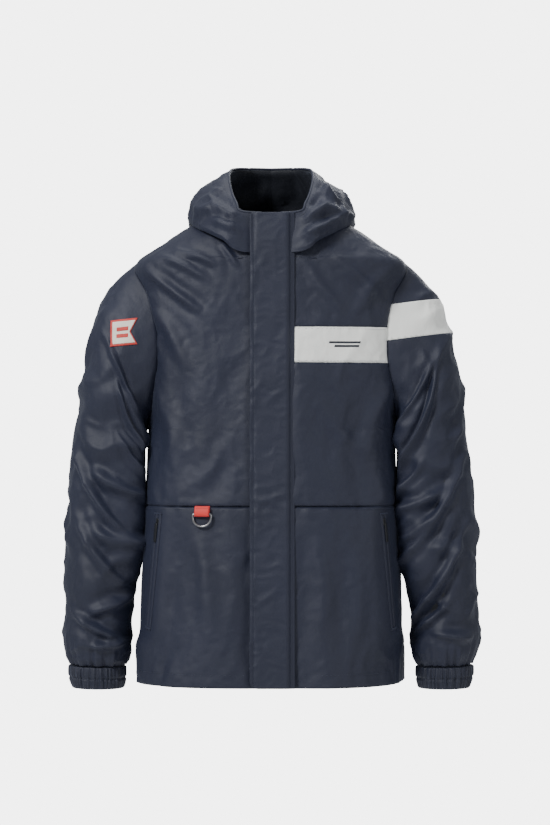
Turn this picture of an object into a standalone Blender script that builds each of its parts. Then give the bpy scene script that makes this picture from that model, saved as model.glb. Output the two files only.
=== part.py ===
"""A hooded foul weather jacket, in its worn shape, as separate sewn and fastened pieces.

Metres, +Z up. The origin is the centre of the neck at the height where a wearer's shoulders carry the
jacket. The front faces -Y and the wearer's left is +X.
"""

import bmesh
import bpy
import numpy as np
from mathutils import Matrix, Vector

# Driving dimensions of the body shell
HEM_Z = -0.673  # hem below the shoulders' carrying height
WAIST_Z = -0.411  # seam between the upper and lower panels
ARMHOLE_LOW_Z = -0.300
SHOULDER_TIP_Z = -0.050
COLLAR_TOP_Z = 0.018
FRONT_TOP_Y = -0.100  # the front closure is one straight line, leaning back to this depth at the collar
FRONT_LEAN = 0.0715  # depth gained for each metre of height
SQUARENESS = 3.0  # exponent of the body's horizontal sections
CLOTH = 0.0024  # outer shell with its membrane and seam tape
LINER = 0.0012
SEAM_GAP = 0.0006
LINER_DEPTH = 0.0085  # how far the liner hangs inside the shell
ARMHOLE_HALF_DEPTH = 0.070
SLEEVE_STANDOFF = 0.0025  # the sleeve head starts this far outside the armhole

# Front closure
ZIP_EDGE = 0.0135  # the front panels end this far from the centre line
FLAP_SEAM_X = 0.031
FLAP_FREE_X = -0.030
FLAP_CLEARANCE = 0.0065  # room under the storm flap for the slider
FLAP_THICKNESS = 0.0022
STUD_COUNT = 4
STUD_X = -0.0225

# White panels
CHEST_STRIPE = (-0.201, -0.1487)
SLEEVE_STRIPE = (-0.158, -0.102)

# Hand pockets: a straight slanted zip on each lower front panel
POCKET_TOP = (0.165, -0.424)
POCKET_FOOT = (0.180, -0.588)
POCKET_SLOT_WIDTH = 0.013
PULL_PIVOT = (0.0125, 0, 0.0024)  # where a pull hangs on its slider: along, across and out of the zip's line

# Ring on its webbing tab
RING_X = -0.099
RING_WIRE = 0.0015
RING_RADIUS = 0.0137
TAB_WIDTH = 0.0215

# Body sections: level, height at the side, front and back, half width, depth of the back.
# Above the shoulder tip the sections close in over the shoulders to the neck seam.
BODY_STATIONS = np.array([
    (-0.673, -0.673, -0.673, -0.673, 0.197, 0.138),
    (-0.540, -0.540, -0.540, -0.540, 0.194, 0.132),
    (-0.411, -0.411, -0.411, -0.411, 0.189, 0.129),
    (-0.300, -0.300, -0.300, -0.300, 0.185, 0.131),
    (-0.180, -0.180, -0.180, -0.180, 0.186, 0.133),
    (-0.100, -0.100, -0.100, -0.100, 0.192, 0.125),
    (-0.050, -0.050, -0.050, -0.050, 0.200, 0.110),
    (-0.020, -0.024, -0.047, -0.018, 0.163, 0.094),
    (0.010, 0.002, -0.044, 0.012, 0.124, 0.083),
    (0.030, 0.018, -0.041, 0.028, 0.094, 0.074),
])
NECK_LEVEL = BODY_STATIONS[-1, 0]

# Sleeve sections: outer point (x, z), inner point (x, z), half depth, depth of the centre
SLEEVE_STATIONS = np.array([
    (0.200, -0.050, 0.185, -0.300, 0.070, 0.000),
    (0.232, -0.078, 0.189, -0.316, 0.076, 0.000),
    (0.256, -0.112, 0.193, -0.334, 0.080, 0.000),
    (0.274, -0.165, 0.1965, -0.360, 0.081, 0.000),
    (0.288, -0.255, 0.1985, -0.400, 0.078, -0.002),
    (0.299, -0.345, 0.2005, -0.445, 0.073, -0.005),
    (0.306, -0.435, 0.203, -0.500, 0.068, -0.009),
    (0.309, -0.525, 0.206, -0.560, 0.063, -0.014),
    (0.3075, -0.590, 0.210, -0.608, 0.056, -0.018),
    (0.3025, -0.648, 0.2150, -0.650, 0.045, -0.021),
])
CUFF_STATIONS = np.array([
    (0.3010, -0.6525, 0.2160, -0.6545, 0.0440, -0.021),
    (0.2990, -0.6670, 0.2180, -0.6685, 0.0425, -0.022),
    (0.2955, -0.6830, 0.2200, -0.6835, 0.0400, -0.023),
])

NAVY = (0.020, 0.027, 0.052)
DARK = (0.012, 0.014, 0.020)
WHITE = (0.76, 0.77, 0.74)
RED = (0.75, 0.06, 0.045)
STEEL = (0.42, 0.42, 0.43)


def material(name, colour, roughness=0.6, metallic=0.0):
    made = bpy.data.materials.get(name)
    if made is None:
        made = bpy.data.materials.new(name)
        made.use_nodes = True
        shader = made.node_tree.nodes["Principled BSDF"]
        shader.inputs["Base Color"].default_value = (*colour, 1)
        shader.inputs["Roughness"].default_value = roughness
        shader.inputs["Metallic"].default_value = metallic
    return made


def shell_cloth():
    return material("shell_fabric", NAVY, 0.62)


def white_cloth():
    return material("white_fabric", WHITE, 0.55)


def liner_cloth():
    return material("lining_fabric", DARK, 0.85)


def black_plastic():
    return material("zip_plastic", DARK, 0.35)


def tape_cloth():
    return material("zip_tape", DARK, 0.8)


def steel():
    return material("steel", STEEL, 0.3, 1.0)


def add_object(name, verts, faces, finish):
    mesh = bpy.data.meshes.new(name)
    mesh.from_pydata([tuple(map(float, v)) for v in verts], [], faces)
    work = bmesh.new()
    work.from_mesh(mesh)
    bmesh.ops.recalc_face_normals(work, faces=work.faces)
    work.to_mesh(mesh)
    work.free()
    mesh.materials.append(finish)
    obj = bpy.data.objects.new(name, mesh)
    bpy.context.scene.collection.objects.link(obj)
    return obj


def sheet(name, outer, inner, finish, wrap=False):
    """A closed thin solid between two grids of points, as rows of columns. wrap joins last column to first."""
    rows, cols = outer.shape[:2]
    verts = np.concatenate([outer.reshape(-1, 3), inner.reshape(-1, 3)])
    half = rows * cols
    steps = cols if wrap else cols - 1
    faces = []
    for r in range(rows - 1):
        for c in range(steps):
            a, b = r * cols + c, r * cols + (c + 1) % cols
            d, e = a + cols, b + cols
            faces.append((a, b, e, d))
            faces.append((half + a, half + d, half + e, half + b))
    for c in range(steps):
        for r in (0, rows - 1):
            a, b = r * cols + c, r * cols + (c + 1) % cols
            faces.append((a, b, half + b, half + a))
    if not wrap:
        for r in range(rows - 1):
            for c in (0, cols - 1):
                a, b = r * cols + c, (r + 1) * cols + c
                faces.append((a, b, half + b, half + a))
    return add_object(name, verts, faces, finish)


def smooth_row(stations, level):
    """The stations' columns at a level, by a cubic through the stations (first column is the level)."""
    keys = stations[:, 0]
    level = float(np.clip(level, keys[0], keys[-1]))
    i = int(np.clip(np.searchsorted(keys, level) - 1, 0, len(keys) - 2))
    values = stations[:, 1:]
    slopes = np.gradient(values, keys, axis=0)
    h = keys[i + 1] - keys[i]
    s = (level - keys[i]) / h
    return ((1 + 2 * s) * (1 - s) ** 2 * values[i] + s * (1 - s) ** 2 * h * slopes[i]
            + s * s * (3 - 2 * s) * values[i + 1] + s * s * (s - 1) * h * slopes[i + 1])


def front_depth(z):
    """Depth of the straight front closure line at a height."""
    return FRONT_TOP_Y - FRONT_LEAN * (COLLAR_TOP_Z - z)


def body_point(angle, level):
    """A point of the shell's outer surface. angle is 0 at the centre front, 90 degrees at +X, 180 at the back."""
    z_side, z_front, z_back, half_width, back_depth = smooth_row(BODY_STATIONS, level)
    s, c = np.sin(angle), np.cos(angle)
    power = 2 / SQUARENESS
    z_mid = z_front if c > 0 else z_back
    z = z_side + (z_mid - z_side) * c * c
    depth = -front_depth(z_front) if c > 0 else back_depth
    return np.array([half_width * np.sign(s) * abs(s) ** power, -depth * np.sign(c) * abs(c) ** power, z])


def body_normal(angle, level):
    """The outward normal, from differences kept clear of the centre lines and side lines."""
    step = 0.02
    around = body_point(angle + step, level) - body_point(angle - step, level)
    low = max(level - 0.004, HEM_Z)
    high = min(level + 0.004, NECK_LEVEL)
    up = body_point(angle, high) - body_point(angle, low)
    normal = np.cross(around, up)
    return normal / np.linalg.norm(normal)


def angle_at_x(x, level):
    """The front angle at which the surface has this x."""
    half_width = smooth_row(BODY_STATIONS, level)[3]
    return np.sign(x) * np.arcsin((abs(x) / half_width) ** (SQUARENESS / 2))


def armhole_angle(level, back):
    """The angle of the armhole's edge at a level, or the side seam outside the armhole."""
    middle = (ARMHOLE_LOW_Z + SHOULDER_TIP_Z) / 2
    half = (SHOULDER_TIP_Z - ARMHOLE_LOW_Z) / 2
    share = 1 - ((level - middle) / half) ** 2
    if share <= 0:
        return np.pi / 2
    y = ARMHOLE_HALF_DEPTH * np.sqrt(share)
    depth = smooth_row(BODY_STATIONS, level)[4] if back else -front_depth(level)
    swing = np.arcsin(min(1.0, (y / depth) ** (SQUARENESS / 2)))
    return np.pi / 2 + (swing if back else -swing)


def body_panel(name, levels, start, end, finish, columns=7, depth=0.0, thickness=CLOTH):
    """A panel of the body between two edges, which are functions of the level that give an angle."""
    outer, inner = [], []
    for level in levels:
        a, b = start(level), end(level)
        angles = a + (b - a) * np.linspace(0, 1, columns)
        points = np.array([body_point(t, level) for t in angles])
        normals = np.array([body_normal(t, level) for t in angles])
        outer.append(points - normals * depth)
        inner.append(points - normals * (depth + thickness))
    return sheet(name, np.array(outer), np.array(inner), finish)


def armhole_levels(low, high):
    """Levels between two heights, close together near the top and foot of the armhole."""
    turns = np.linspace(0, np.pi, 9)
    middle = (ARMHOLE_LOW_Z + SHOULDER_TIP_Z) / 2
    half = (SHOULDER_TIP_Z - ARMHOLE_LOW_Z) / 2
    candidates = [middle - half * np.cos(t) for t in turns] + [-0.355, -0.03, -0.01, 0.01]
    inside = [v for v in candidates if low + 0.008 < v < high - 0.008]
    return sorted([low, *inside, high])


def front_edge(side):
    return lambda level: angle_at_x(side * ZIP_EDGE, level)


def side_edge(side, back, allowance=0.0045):
    """The side seam or armhole edge, drawn in by a small angle to leave the seam's gap."""
    shift = allowance if back else -allowance
    return lambda level: side * (armhole_angle(level, back) + shift)


def front_panels():
    g = SEAM_GAP / 2
    top = NECK_LEVEL
    for side, word in ((1, "left"), (-1, "right")):
        cuts = [WAIST_Z, *CHEST_STRIPE, top] if side > 0 else [WAIST_Z, top]
        names = ["middle_panel", "chest_stripe", "upper_panel"] if side > 0 else ["upper_panel"]
        for low, high, kind in zip(cuts[:-1], cuts[1:], names):
            finish = white_cloth() if kind == "chest_stripe" else shell_cloth()
            name = kind if kind == "chest_stripe" else f"front_{word}_{kind}"
            body_panel(name, armhole_levels(low + g, high - g), front_edge(side), side_edge(side, False), finish)
        lower = body_panel(f"front_{word}_lower_panel", np.linspace(HEM_Z, WAIST_Z - g, 5),
                           front_edge(side), side_edge(side, False), shell_cloth(), columns=8)
        cut_pocket_slot(lower, side)


def back_panels():
    g = SEAM_GAP / 2
    body_panel("back_upper_panel", armhole_levels(WAIST_Z + g, NECK_LEVEL), side_edge(1, True),
               lambda level: 2 * np.pi + side_edge(-1, True)(level), shell_cloth(), columns=13)
    body_panel("back_lower_panel", np.linspace(HEM_Z, WAIST_Z - g, 4), side_edge(1, True),
               lambda level: 2 * np.pi + side_edge(-1, True)(level), shell_cloth(), columns=13)


def linings():
    """The liner hangs inside the shell, and its armholes match the shell's."""
    low, high = HEM_Z + 0.022, NECK_LEVEL - 0.006
    for side, word in ((1, "left"), (-1, "right")):
        body_panel(f"lining_front_{word}", armhole_levels(low, SHOULDER_TIP_Z - 0.006),
                   lambda level, s=side: angle_at_x(s * 0.024, level), side_edge(side, False, 0.02),
                   liner_cloth(), columns=6, depth=LINER_DEPTH, thickness=LINER)
    body_panel("lining_back", armhole_levels(low, high), side_edge(1, True, 0.02),
               lambda level: 2 * np.pi + side_edge(-1, True, 0.02)(level), liner_cloth(),
               columns=11, depth=LINER_DEPTH, thickness=LINER)


def sleeve_ring(stations, share, side, segments=16, inset=0.0):
    """One ring of a sleeve at a share of its stations, top and outer point first, then the front."""
    keyed = np.column_stack([np.linspace(0, 1, len(stations)), stations])
    ox, oz, ix, iz, half_depth, centre_y = smooth_row(keyed, share)
    centre = np.array([(ox + ix) / 2, centre_y, (oz + iz) / 2])
    reach = np.array([ox - ix, 0, oz - iz]) / 2
    length = np.linalg.norm(reach)
    turns = np.linspace(0, 2 * np.pi, segments, endpoint=False)
    ring = np.array([centre + reach * (1 - inset / length) * np.cos(t)
                     + np.array([0, -(half_depth - inset) * np.sin(t), 0]) for t in turns])
    return ring * np.array([side, 1, 1])


def armhole_ring(side, segments=16, inset=0.0):
    """The armhole's edge on the body, moved out by the sleeve's standoff."""
    middle = (ARMHOLE_LOW_Z + SHOULDER_TIP_Z) / 2
    half = (SHOULDER_TIP_Z - ARMHOLE_LOW_Z) / 2 - inset
    ring = []
    for t in np.linspace(0, 2 * np.pi, segments, endpoint=False):
        level = middle + half * np.cos(t)
        y = -(ARMHOLE_HALF_DEPTH - inset) * np.sin(t)
        station = smooth_row(BODY_STATIONS, level)
        depth = -front_depth(level) if y < 0 else station[4]
        x = station[3] * (1 - (abs(y) / depth) ** SQUARENESS) ** (1 / SQUARENESS)
        ring.append((side * (x + SLEEVE_STANDOFF), y, level))
    return np.array(ring)


def sleeve_grid(side, first, last, count, inset=0.0, segments=16):
    rings = [sleeve_ring(SLEEVE_STATIONS, s, side, segments, inset) for s in np.linspace(first, last, count)]
    if first == 0:
        rings[0] = armhole_ring(side, segments, inset)
    return np.array(rings)


def box_cutter(name, low, high):
    bpy.ops.mesh.primitive_cube_add(size=1, location=(Vector(low) + Vector(high)) / 2)
    cutter = bpy.context.object
    cutter.name = name
    cutter.scale = Vector(high) - Vector(low)
    cutter.hide_render = True
    cutter.display_type = "WIRE"
    return cutter


def add_boolean(obj, cutter, operation):
    modifier = obj.modifiers.new(cutter.name, "BOOLEAN")
    modifier.operation = operation
    modifier.object = cutter


def sleeves():
    rings = 12
    for side, word in ((1, "left"), (-1, "right")):
        outer = sleeve_grid(side, 0, 1, rings)
        inner = sleeve_grid(side, 0, 1, rings, CLOTH)
        inner[0] += (outer[0] - inner[0]) * np.array([1, 0, 0])
        if side < 0:
            sheet("sleeve_right", outer, inner, shell_cloth(), wrap=True)
        else:
            cuts = [-0.9, *SLEEVE_STRIPE, 0.1]
            kinds = [("sleeve_left", shell_cloth()), ("sleeve_stripe", white_cloth()),
                     ("sleeve_left_cap", shell_cloth())]
            for (name, finish), low, high in zip(kinds, cuts[:-1], cuts[1:]):
                part = sheet(name, outer, inner, finish, wrap=True)
                slab = box_cutter(f"cut_{name}", (0.1, -0.2, low + SEAM_GAP / 2), (0.4, 0.2, high - SEAM_GAP / 2))
                add_boolean(part, slab, "INTERSECT")
        liner = [sleeve_grid(side, 0.10, 0.985, 9, 0.006 + extra, 12) for extra in (0, LINER)]
        sheet(f"sleeve_lining_{word}", *liner, liner_cloth(), wrap=True)
        shares = (0, 0.5, 1)
        cuff = [np.array([sleeve_ring(CUFF_STATIONS, s, side, 16, i) for s in shares]) for i in (0, CLOTH)]
        sheet(f"cuff_{word}", *cuff, shell_cloth(), wrap=True)
        elastic = [np.array([sleeve_ring(CUFF_STATIONS, s, side, 16, i) for s in (0.2, 0.8)])
                   for i in (0.0034, 0.0048)]
        sheet(f"cuff_elastic_{word}", *elastic, tape_cloth(), wrap=True)


def sleeve_badge():
    """A sewn patch on the outside of the right sleeve, just below the shoulder."""
    grids = []
    for lift in (0.0021, 0.0009):
        rings = []
        for share in np.linspace(0.235, 0.345, 4):
            ring = sleeve_ring(SLEEVE_STATIONS, share, -1, 32, -lift)
            rings.append(ring[1:6])
        grids.append(np.array(rings))
    sheet("sleeve_badge", *grids, white_cloth())


# Hood and collar, by the angle around the neck (0 front, 180 back): the rim, the crest of the roll, the lowest
# point of the outside, and the width of the fold there. Behind the neck the cloth folds under, back to the neck seam.
HOOD_STATIONS = np.array([
    # angle, rim x, y, z, crest x, y, z, foot x, y, z, fold
    (14, 0.033, -0.1000, 0.019, 0.0335, -0.1045, -0.012, 0.0340, -0.1085, -0.0365, 0.0),
    (45, 0.052, -0.0860, 0.036, 0.0660, -0.1010, 0.006, 0.0740, -0.1040, -0.0180, 0.0),
    (75, 0.062, -0.0350, 0.070, 0.0980, -0.0520, 0.046, 0.1160, -0.0560, 0.0030, 0.003),
    (100, 0.062, 0.0120, 0.089, 0.1060, 0.0080, 0.054, 0.1270, 0.0060, 0.0150, 0.006),
    (125, 0.054, 0.0480, 0.096, 0.1080, 0.0760, 0.042, 0.1220, 0.1160, -0.0180, 0.012),
    (150, 0.034, 0.0680, 0.098, 0.0860, 0.1280, 0.006, 0.0790, 0.1700, -0.1200, 0.020),
    (180, 0.000, 0.0760, 0.098, 0.0000, 0.1500, -0.006, 0.0000, 0.1870, -0.1650, 0.024),
])
HOOD_SPLIT = 100  # the collar ends and the part that lifts begins at this angle
SIDE_SEAM = 150
HOOD_GAP = 0.9
HOOD_PIVOT = (0, 0.006, 0.100)  # the hood lifts about a level line across the top of the collar


def quadratic(start, middle, end, count):
    """Points of a curve that passes through its middle point."""
    shares = np.linspace(0, 1, count)[:, None]
    control = 2 * middle - (start + end) / 2
    return (1 - shares) ** 2 * start + 2 * shares * (1 - shares) * control + shares ** 2 * end


def hood_profile(angle, folded):
    """Points from the rim over the crest to the foot and, if folded, round the fold and up to the neck seam."""
    side = 1 if angle <= 180 else -1
    turn = angle if angle <= 180 else 360 - angle
    row = smooth_row(HOOD_STATIONS, turn)
    rim, crest, foot, fold = row[0:3], row[3:6], row[6:9], row[9]
    points = list(quadratic(rim, crest, foot, 6))
    if folded:
        inward = np.array([-foot[0], -foot[1], 0]) / np.hypot(foot[0], foot[1])
        below = foot + inward * fold / 2 + np.array([0, 0, -fold / 2])
        under = foot + inward * fold
        seam = body_point(np.radians(turn), NECK_LEVEL) * np.array([1.07, 1.07, 1]) + np.array([0, 0, 0.007])
        middle = (under + seam) / 2 + np.array([0, 0.006, 0.004])
        points += [below, *quadratic(under, middle, seam, 4)]
    return np.array(points) * np.array([side, 1, 1])


def hood_grid(first, last, columns, folded, depth=0.0, thickness=CLOTH):
    """Outer and inner grids of a stretch of the hood, with the inner one a cloth's thickness inside."""
    outer = np.array([hood_profile(a, folded) for a in np.linspace(first, last, columns)])
    around = np.gradient(outer, axis=0)
    along = np.gradient(outer, axis=1)
    normal = np.cross(along, around)
    normal /= np.linalg.norm(normal, axis=2, keepdims=True)
    return outer - normal * depth, outer - normal * (depth + thickness)


def hood():
    edge = HOOD_SPLIT + HOOD_GAP
    seam = SIDE_SEAM
    front = HOOD_STATIONS[0, 0]
    sheet("collar_left", *hood_grid(front, HOOD_SPLIT - HOOD_GAP, 7, False), shell_cloth())
    sheet("collar_right", *hood_grid(360 - HOOD_SPLIT + HOOD_GAP, 360 - front, 7, False), shell_cloth())
    sheet("hood_left_panel", *hood_grid(edge, seam - HOOD_GAP, 5, True), shell_cloth())
    sheet("hood_centre_panel", *hood_grid(seam + HOOD_GAP, 360 - seam - HOOD_GAP, 6, True), shell_cloth())
    sheet("hood_right_panel", *hood_grid(360 - seam + HOOD_GAP, 360 - edge, 5, True), shell_cloth())
    lining = hood_grid(edge + 12, 360 - edge - 12, 12, False, 0.0055, LINER)
    sheet("hood_lining", *(grid[:, :5] for grid in lining), liner_cloth())


def closure_point(x, lift, z):
    """A point in front of the straight closure line, lifted outwards."""
    tilt = np.hypot(1, FRONT_LEAN)
    return np.array([x, front_depth(z) - lift / tilt, z + lift * FRONT_LEAN / tilt])


def closure_bar(name, x0, x1, lift0, lift1, z0, z1, finish, rows=2, thickness_of=None):
    """A straight bar along the front closure. thickness_of gives a share of its height at each row."""
    zs = np.linspace(z0, z1, rows)
    tops = [lift0 + (lift1 - lift0) * (thickness_of(i) if thickness_of else 1) for i in range(rows)]
    front = np.array([[closure_point(x, top, z) for x in (x0, x1)] for top, z in zip(tops, zs)])
    back = np.array([[closure_point(x, lift0, z) for x in (x0, x1)] for z in zs])
    return sheet(name, front, back, finish)


CHAIN_TOP = -0.004
CHAIN_FOOT = HEM_Z + 0.016
SLIDER_FOOT = CHAIN_TOP - 0.0140


def front_zip():
    for side, word in ((1, "left"), (-1, "right")):
        inner, outer = sorted((side * 0.0034, side * 0.0129))
        closure_bar(f"zip_tape_{word}", inner, outer, -0.0022, -0.0010, HEM_Z + 0.006, COLLAR_TOP_Z - 0.006,
                    tape_cloth())
        near, far = sorted((side * 0.0003, side * 0.0030))
        teeth = 2 * 24 + 1
        closure_bar(f"zip_teeth_{word}", near, far, -0.0026, 0.0002, CHAIN_FOOT, CHAIN_TOP, black_plastic(),
                    rows=teeth, thickness_of=lambda i: 1.0 if i % 2 else 0.78)
        closure_bar(f"zip_top_stop_{word}", near, far, -0.0026, 0.0006, CHAIN_TOP + 0.0006, CHAIN_TOP + 0.0050,
                    black_plastic())
    closure_bar("zip_retainer_box", -0.0030, 0.0030, -0.0026, 0.0008, CHAIN_FOOT - 0.0100, CHAIN_FOOT - 0.0006,
                black_plastic())
    closure_bar("zip_slider", -0.0046, 0.0046, 0.0008, 0.0026, SLIDER_FOOT, SLIDER_FOOT + 0.0120, black_plastic())
    closure_bar("zip_pull_tab", -0.0028, 0.0028, 0.0030, 0.0044, SLIDER_FOOT - 0.0240, SLIDER_FOOT + 0.0100,
                black_plastic())


def storm_flap():
    """The flap over the zip. It is sewn at its left edge, and its free edge has rounded lower corners."""
    radius = 0.012
    corner = [(FLAP_FREE_X + radius - radius * np.cos(t), HEM_Z + radius - radius * np.sin(t))
              for t in np.linspace(0, np.pi / 2, 5)]
    outline = [(FLAP_SEAM_X, HEM_Z), (FLAP_SEAM_X, COLLAR_TOP_Z), (FLAP_FREE_X, COLLAR_TOP_Z), *corner]
    front = [closure_point(x, FLAP_CLEARANCE + FLAP_THICKNESS, z) for x, z in outline]
    back = [closure_point(x, FLAP_CLEARANCE, z) for x, z in outline]
    n = len(outline)
    faces = [tuple(range(n)), tuple(range(2 * n - 1, n - 1, -1))]
    faces += [(i, n + i, n + (i + 1) % n, (i + 1) % n) for i in range(n)]
    add_object("storm_flap", front + back, faces, shell_cloth())


def turned(name, profile, place, axis, finish, segments=10):
    """A solid turned about an axis: profile is (radius, height) from the foot's centre to the top's centre."""
    z = Vector(axis).normalized()
    x = z.orthogonal().normalized()
    y = z.cross(x)
    origin = Vector(place)
    verts = [origin + z * profile[0][1]]
    for radius, height in profile[1:-1]:
        for i in range(segments):
            t = 2 * np.pi * i / segments
            verts.append(origin + z * height + (x * np.cos(t) + y * np.sin(t)) * radius)
    verts.append(origin + z * profile[-1][1])
    last = len(verts) - 1
    faces = []
    for i in range(segments):
        j = (i + 1) % segments
        faces.append((0, 1 + j, 1 + i))
        faces.append((last, last - segments + i, last - segments + j))
        for k in range(len(profile) - 3):
            a, b = 1 + k * segments + i, 1 + k * segments + j
            faces.append((a, b, b + segments, a + segments))
    return add_object(name, verts, faces, finish)


def press_studs():
    """Concealed press studs: a stud on the right front panel and a socket inside the flap."""
    outward = Vector(closure_point(0, 1, 0) - closure_point(0, 0, 0))
    for i, z in enumerate(np.linspace(-0.065, -0.600, STUD_COUNT)):
        stud = [(0, 0.0004), (0.0060, 0.0004), (0.0060, 0.0014), (0.0022, 0.0016), (0.0022, 0.0030), (0, 0.0032)]
        turned(f"press_stud_{i + 1}", stud, closure_point(STUD_X, 0, z), outward, steel())
        socket = [(0, -0.0002), (0.0060, -0.0002), (0.0060, -0.0014), (0.0040, -0.0024), (0, -0.0025)]
        turned(f"stud_socket_{i + 1}", [(r, h) for r, h in reversed(socket)],
               closure_point(STUD_X, FLAP_CLEARANCE - 0.0002, z), outward, steel())


class PocketFrame:
    """The straight line of a hand pocket's zip, with its outward normal."""

    def __init__(self, side):
        ends = []
        for x, z in (POCKET_TOP, POCKET_FOOT):
            ends.append(body_point(angle_at_x(side * x, z), z))
        self.top, self.foot = ends
        self.along = (self.foot - self.top) / np.linalg.norm(self.foot - self.top)
        self.length = np.linalg.norm(self.foot - self.top)
        middle = (POCKET_TOP[1] + POCKET_FOOT[1]) / 2
        raw = body_normal(angle_at_x(side * (POCKET_TOP[0] + POCKET_FOOT[0]) / 2, middle), middle)
        raw = raw - self.along * raw.dot(self.along)
        self.out = raw / np.linalg.norm(raw)
        self.across = np.cross(self.along, self.out)

    def at(self, along, across, out):
        return self.top + self.along * along + self.across * across + self.out * out

    def block(self, name, along, across, out, finish):
        """A box in this frame, from pairs of limits."""
        corners = [[self.at(a, c, out[1]) for c in across] for a in along]
        backs = [[self.at(a, c, out[0]) for c in across] for a in along]
        return sheet(name, np.array(corners), np.array(backs), finish)


def cut_pocket_slot(panel, side):
    frame = PocketFrame(side)
    half = POCKET_SLOT_WIDTH / 2
    cutter = frame.block(f"{panel.name}_slot", (0, frame.length), (-half, half), (-0.02, 0.02), shell_cloth())
    cutter.hide_render = True
    cutter.display_type = "WIRE"
    add_boolean(panel, cutter, "DIFFERENCE")


def hand_pockets():
    for side, word in ((1, "left"), (-1, "right")):
        f = PocketFrame(side)
        half = POCKET_SLOT_WIDTH / 2 - 0.0006
        for hand, across in (("front", (0.0003, half)), ("rear", (-half, -0.0003))):
            f.block(f"pocket_zip_{word}_{hand}", (0.0006, f.length - 0.0006), across, (-0.0030, -0.0012), tape_cloth())
        f.block(f"pocket_slider_{word}", (0.0060, 0.0150), (-0.0036, 0.0036), (-0.0006, 0.0014), black_plastic())
        f.block(f"pocket_pull_{word}", (0.0120, 0.0400), (-0.0022, 0.0022), (0.0018, 0.0030), black_plastic())
        # The bag lies flat between shell and liner, forward of the zip.
        rim = angle_at_x(side * 0.070, -0.5)
        body_panel(f"pocket_bag_{word}", np.linspace(-0.645, -0.432, 4), lambda level, r=rim: r,
                   lambda level, s=side: s * 1.38, liner_cloth(), columns=6, depth=0.0052, thickness=0.0020)


class RingFrame:
    """The place of the ring's tab on the waist seam. The ring's bar is at (BAR_DROP, 0, BAR_OUT) in it."""

    def __init__(self):
        angle = angle_at_x(RING_X, WAIST_Z)
        self.seat = body_point(angle, WAIST_Z)
        self.out = body_normal(angle, WAIST_Z)
        down = np.array([0, 0, -1.0]) + self.out * self.out[2]
        self.down = down / np.linalg.norm(down)
        self.across = np.cross(self.down, self.out)

    def at(self, down, across, out):
        return self.seat + self.down * down + self.across * across + self.out * out


BAR_DROP = 0.0110
TAB_REACH = RING_WIRE + 0.0012  # the webbing turns round the bar at this radius
TAB_THICKNESS = 0.0009
BAR_OUT = 0.0016 + TAB_REACH


def ring_tab(frame):
    """The webbing goes down behind the ring's bar, round it and back up, as one folded strip."""
    turns = np.linspace(0.4, np.pi - 0.4, 6)
    path = [(0.0008, BAR_OUT - TAB_REACH), (BAR_DROP, BAR_OUT - TAB_REACH)]
    path += [(BAR_DROP + TAB_REACH * np.sin(t), BAR_OUT - TAB_REACH * np.cos(t)) for t in turns]
    path += [(BAR_DROP, BAR_OUT + TAB_REACH), (0.0008, BAR_OUT + TAB_REACH)]
    middle = np.array([BAR_DROP, BAR_OUT])
    skin = []
    for drop, out in path:
        if drop <= BAR_DROP:
            away = np.array([0.0, np.sign(out - BAR_OUT)])
        else:
            away = (np.array([drop, out]) - middle) / TAB_REACH
        skin.append(np.array([drop, out]) + away * TAB_THICKNESS)
    edges = (-TAB_WIDTH / 2, TAB_WIDTH / 2)
    grids = [np.array([[frame.at(a, c, o) for c in edges] for a, o in line]) for line in (skin, path)]
    sheet("ring_tab", *grids, material("red_webbing", RED, 0.7))


def d_ring(frame):
    """A straight bar closed by a half round bow, swept by a round wire."""
    half = RING_RADIUS
    line = [(0, -half * s) for s in (0, 0.5, 0.88)] + [(0.0016, -half)]
    line += [(0.0040 + half * np.sin(t), -half * np.cos(t)) for t in np.linspace(0.25, np.pi - 0.25, 7)]
    line += [(0.0016, half)] + [(0, half * s) for s in (0.88, 0.5)]
    count, sides = len(line), 8
    verts = []
    for i, (drop, side_way) in enumerate(line):
        tangent = np.array(line[(i + 1) % count]) - np.array(line[i - 1])
        tangent /= np.linalg.norm(tangent)
        for t in np.linspace(0, 2 * np.pi, sides, endpoint=False):
            shift = RING_WIRE * np.cos(t)
            verts.append(frame.at(BAR_DROP + drop + tangent[1] * shift, side_way - tangent[0] * shift,
                                  BAR_OUT + RING_WIRE * np.sin(t)))
    faces = [(i * sides + k, i * sides + (k + 1) % sides,
              (i + 1) % count * sides + (k + 1) % sides, (i + 1) % count * sides + k)
             for i in range(count) for k in range(sides)]
    add_object("d_ring", verts, faces, steel())


def neck_fittings():
    """The hanger loop and a blank woven label, inside the back of the neck."""
    turns = np.linspace(0, np.pi, 7)
    line = [(0.026 * np.cos(t), 0.016 * np.sin(t)) for t in turns]
    outer = [[(x, 0.0565 - 0.0010 * k - d * 0.4, -0.004 + d) for k in (0, 1)] for x, d in line]
    inner = [[(x * 0.90, 0.0565 - 0.0010 * k - d * 0.4, -0.004 + d - 0.0022) for k in (0, 1)] for x, d in line]
    sheet("hanger_loop", np.array(outer), np.array(inner), tape_cloth())
    front = np.array([[(x, 0.0615, z) for x in (-0.024, 0.024)] for z in (-0.052, -0.012)])
    back = front + np.array([0, 0.0009, 0])
    sheet("neck_label", front, back, material("label", (0.03, 0.035, 0.05), 0.6))


def pivot(name, place, pieces, parent=None):
    """An empty on a joint's axis, which carries the pieces that move there. They keep their places."""
    empty = bpy.data.objects.new(name, None)
    bpy.context.scene.collection.objects.link(empty)
    empty.location = Vector(place) - (parent.matrix_world.translation if parent else Vector())
    empty.parent = parent
    bpy.context.view_layer.update()
    for piece in pieces:
        obj = bpy.data.objects[piece]
        obj.parent = empty
        obj.matrix_parent_inverse = Matrix.Translation(-Vector(place))
    return empty


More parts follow.
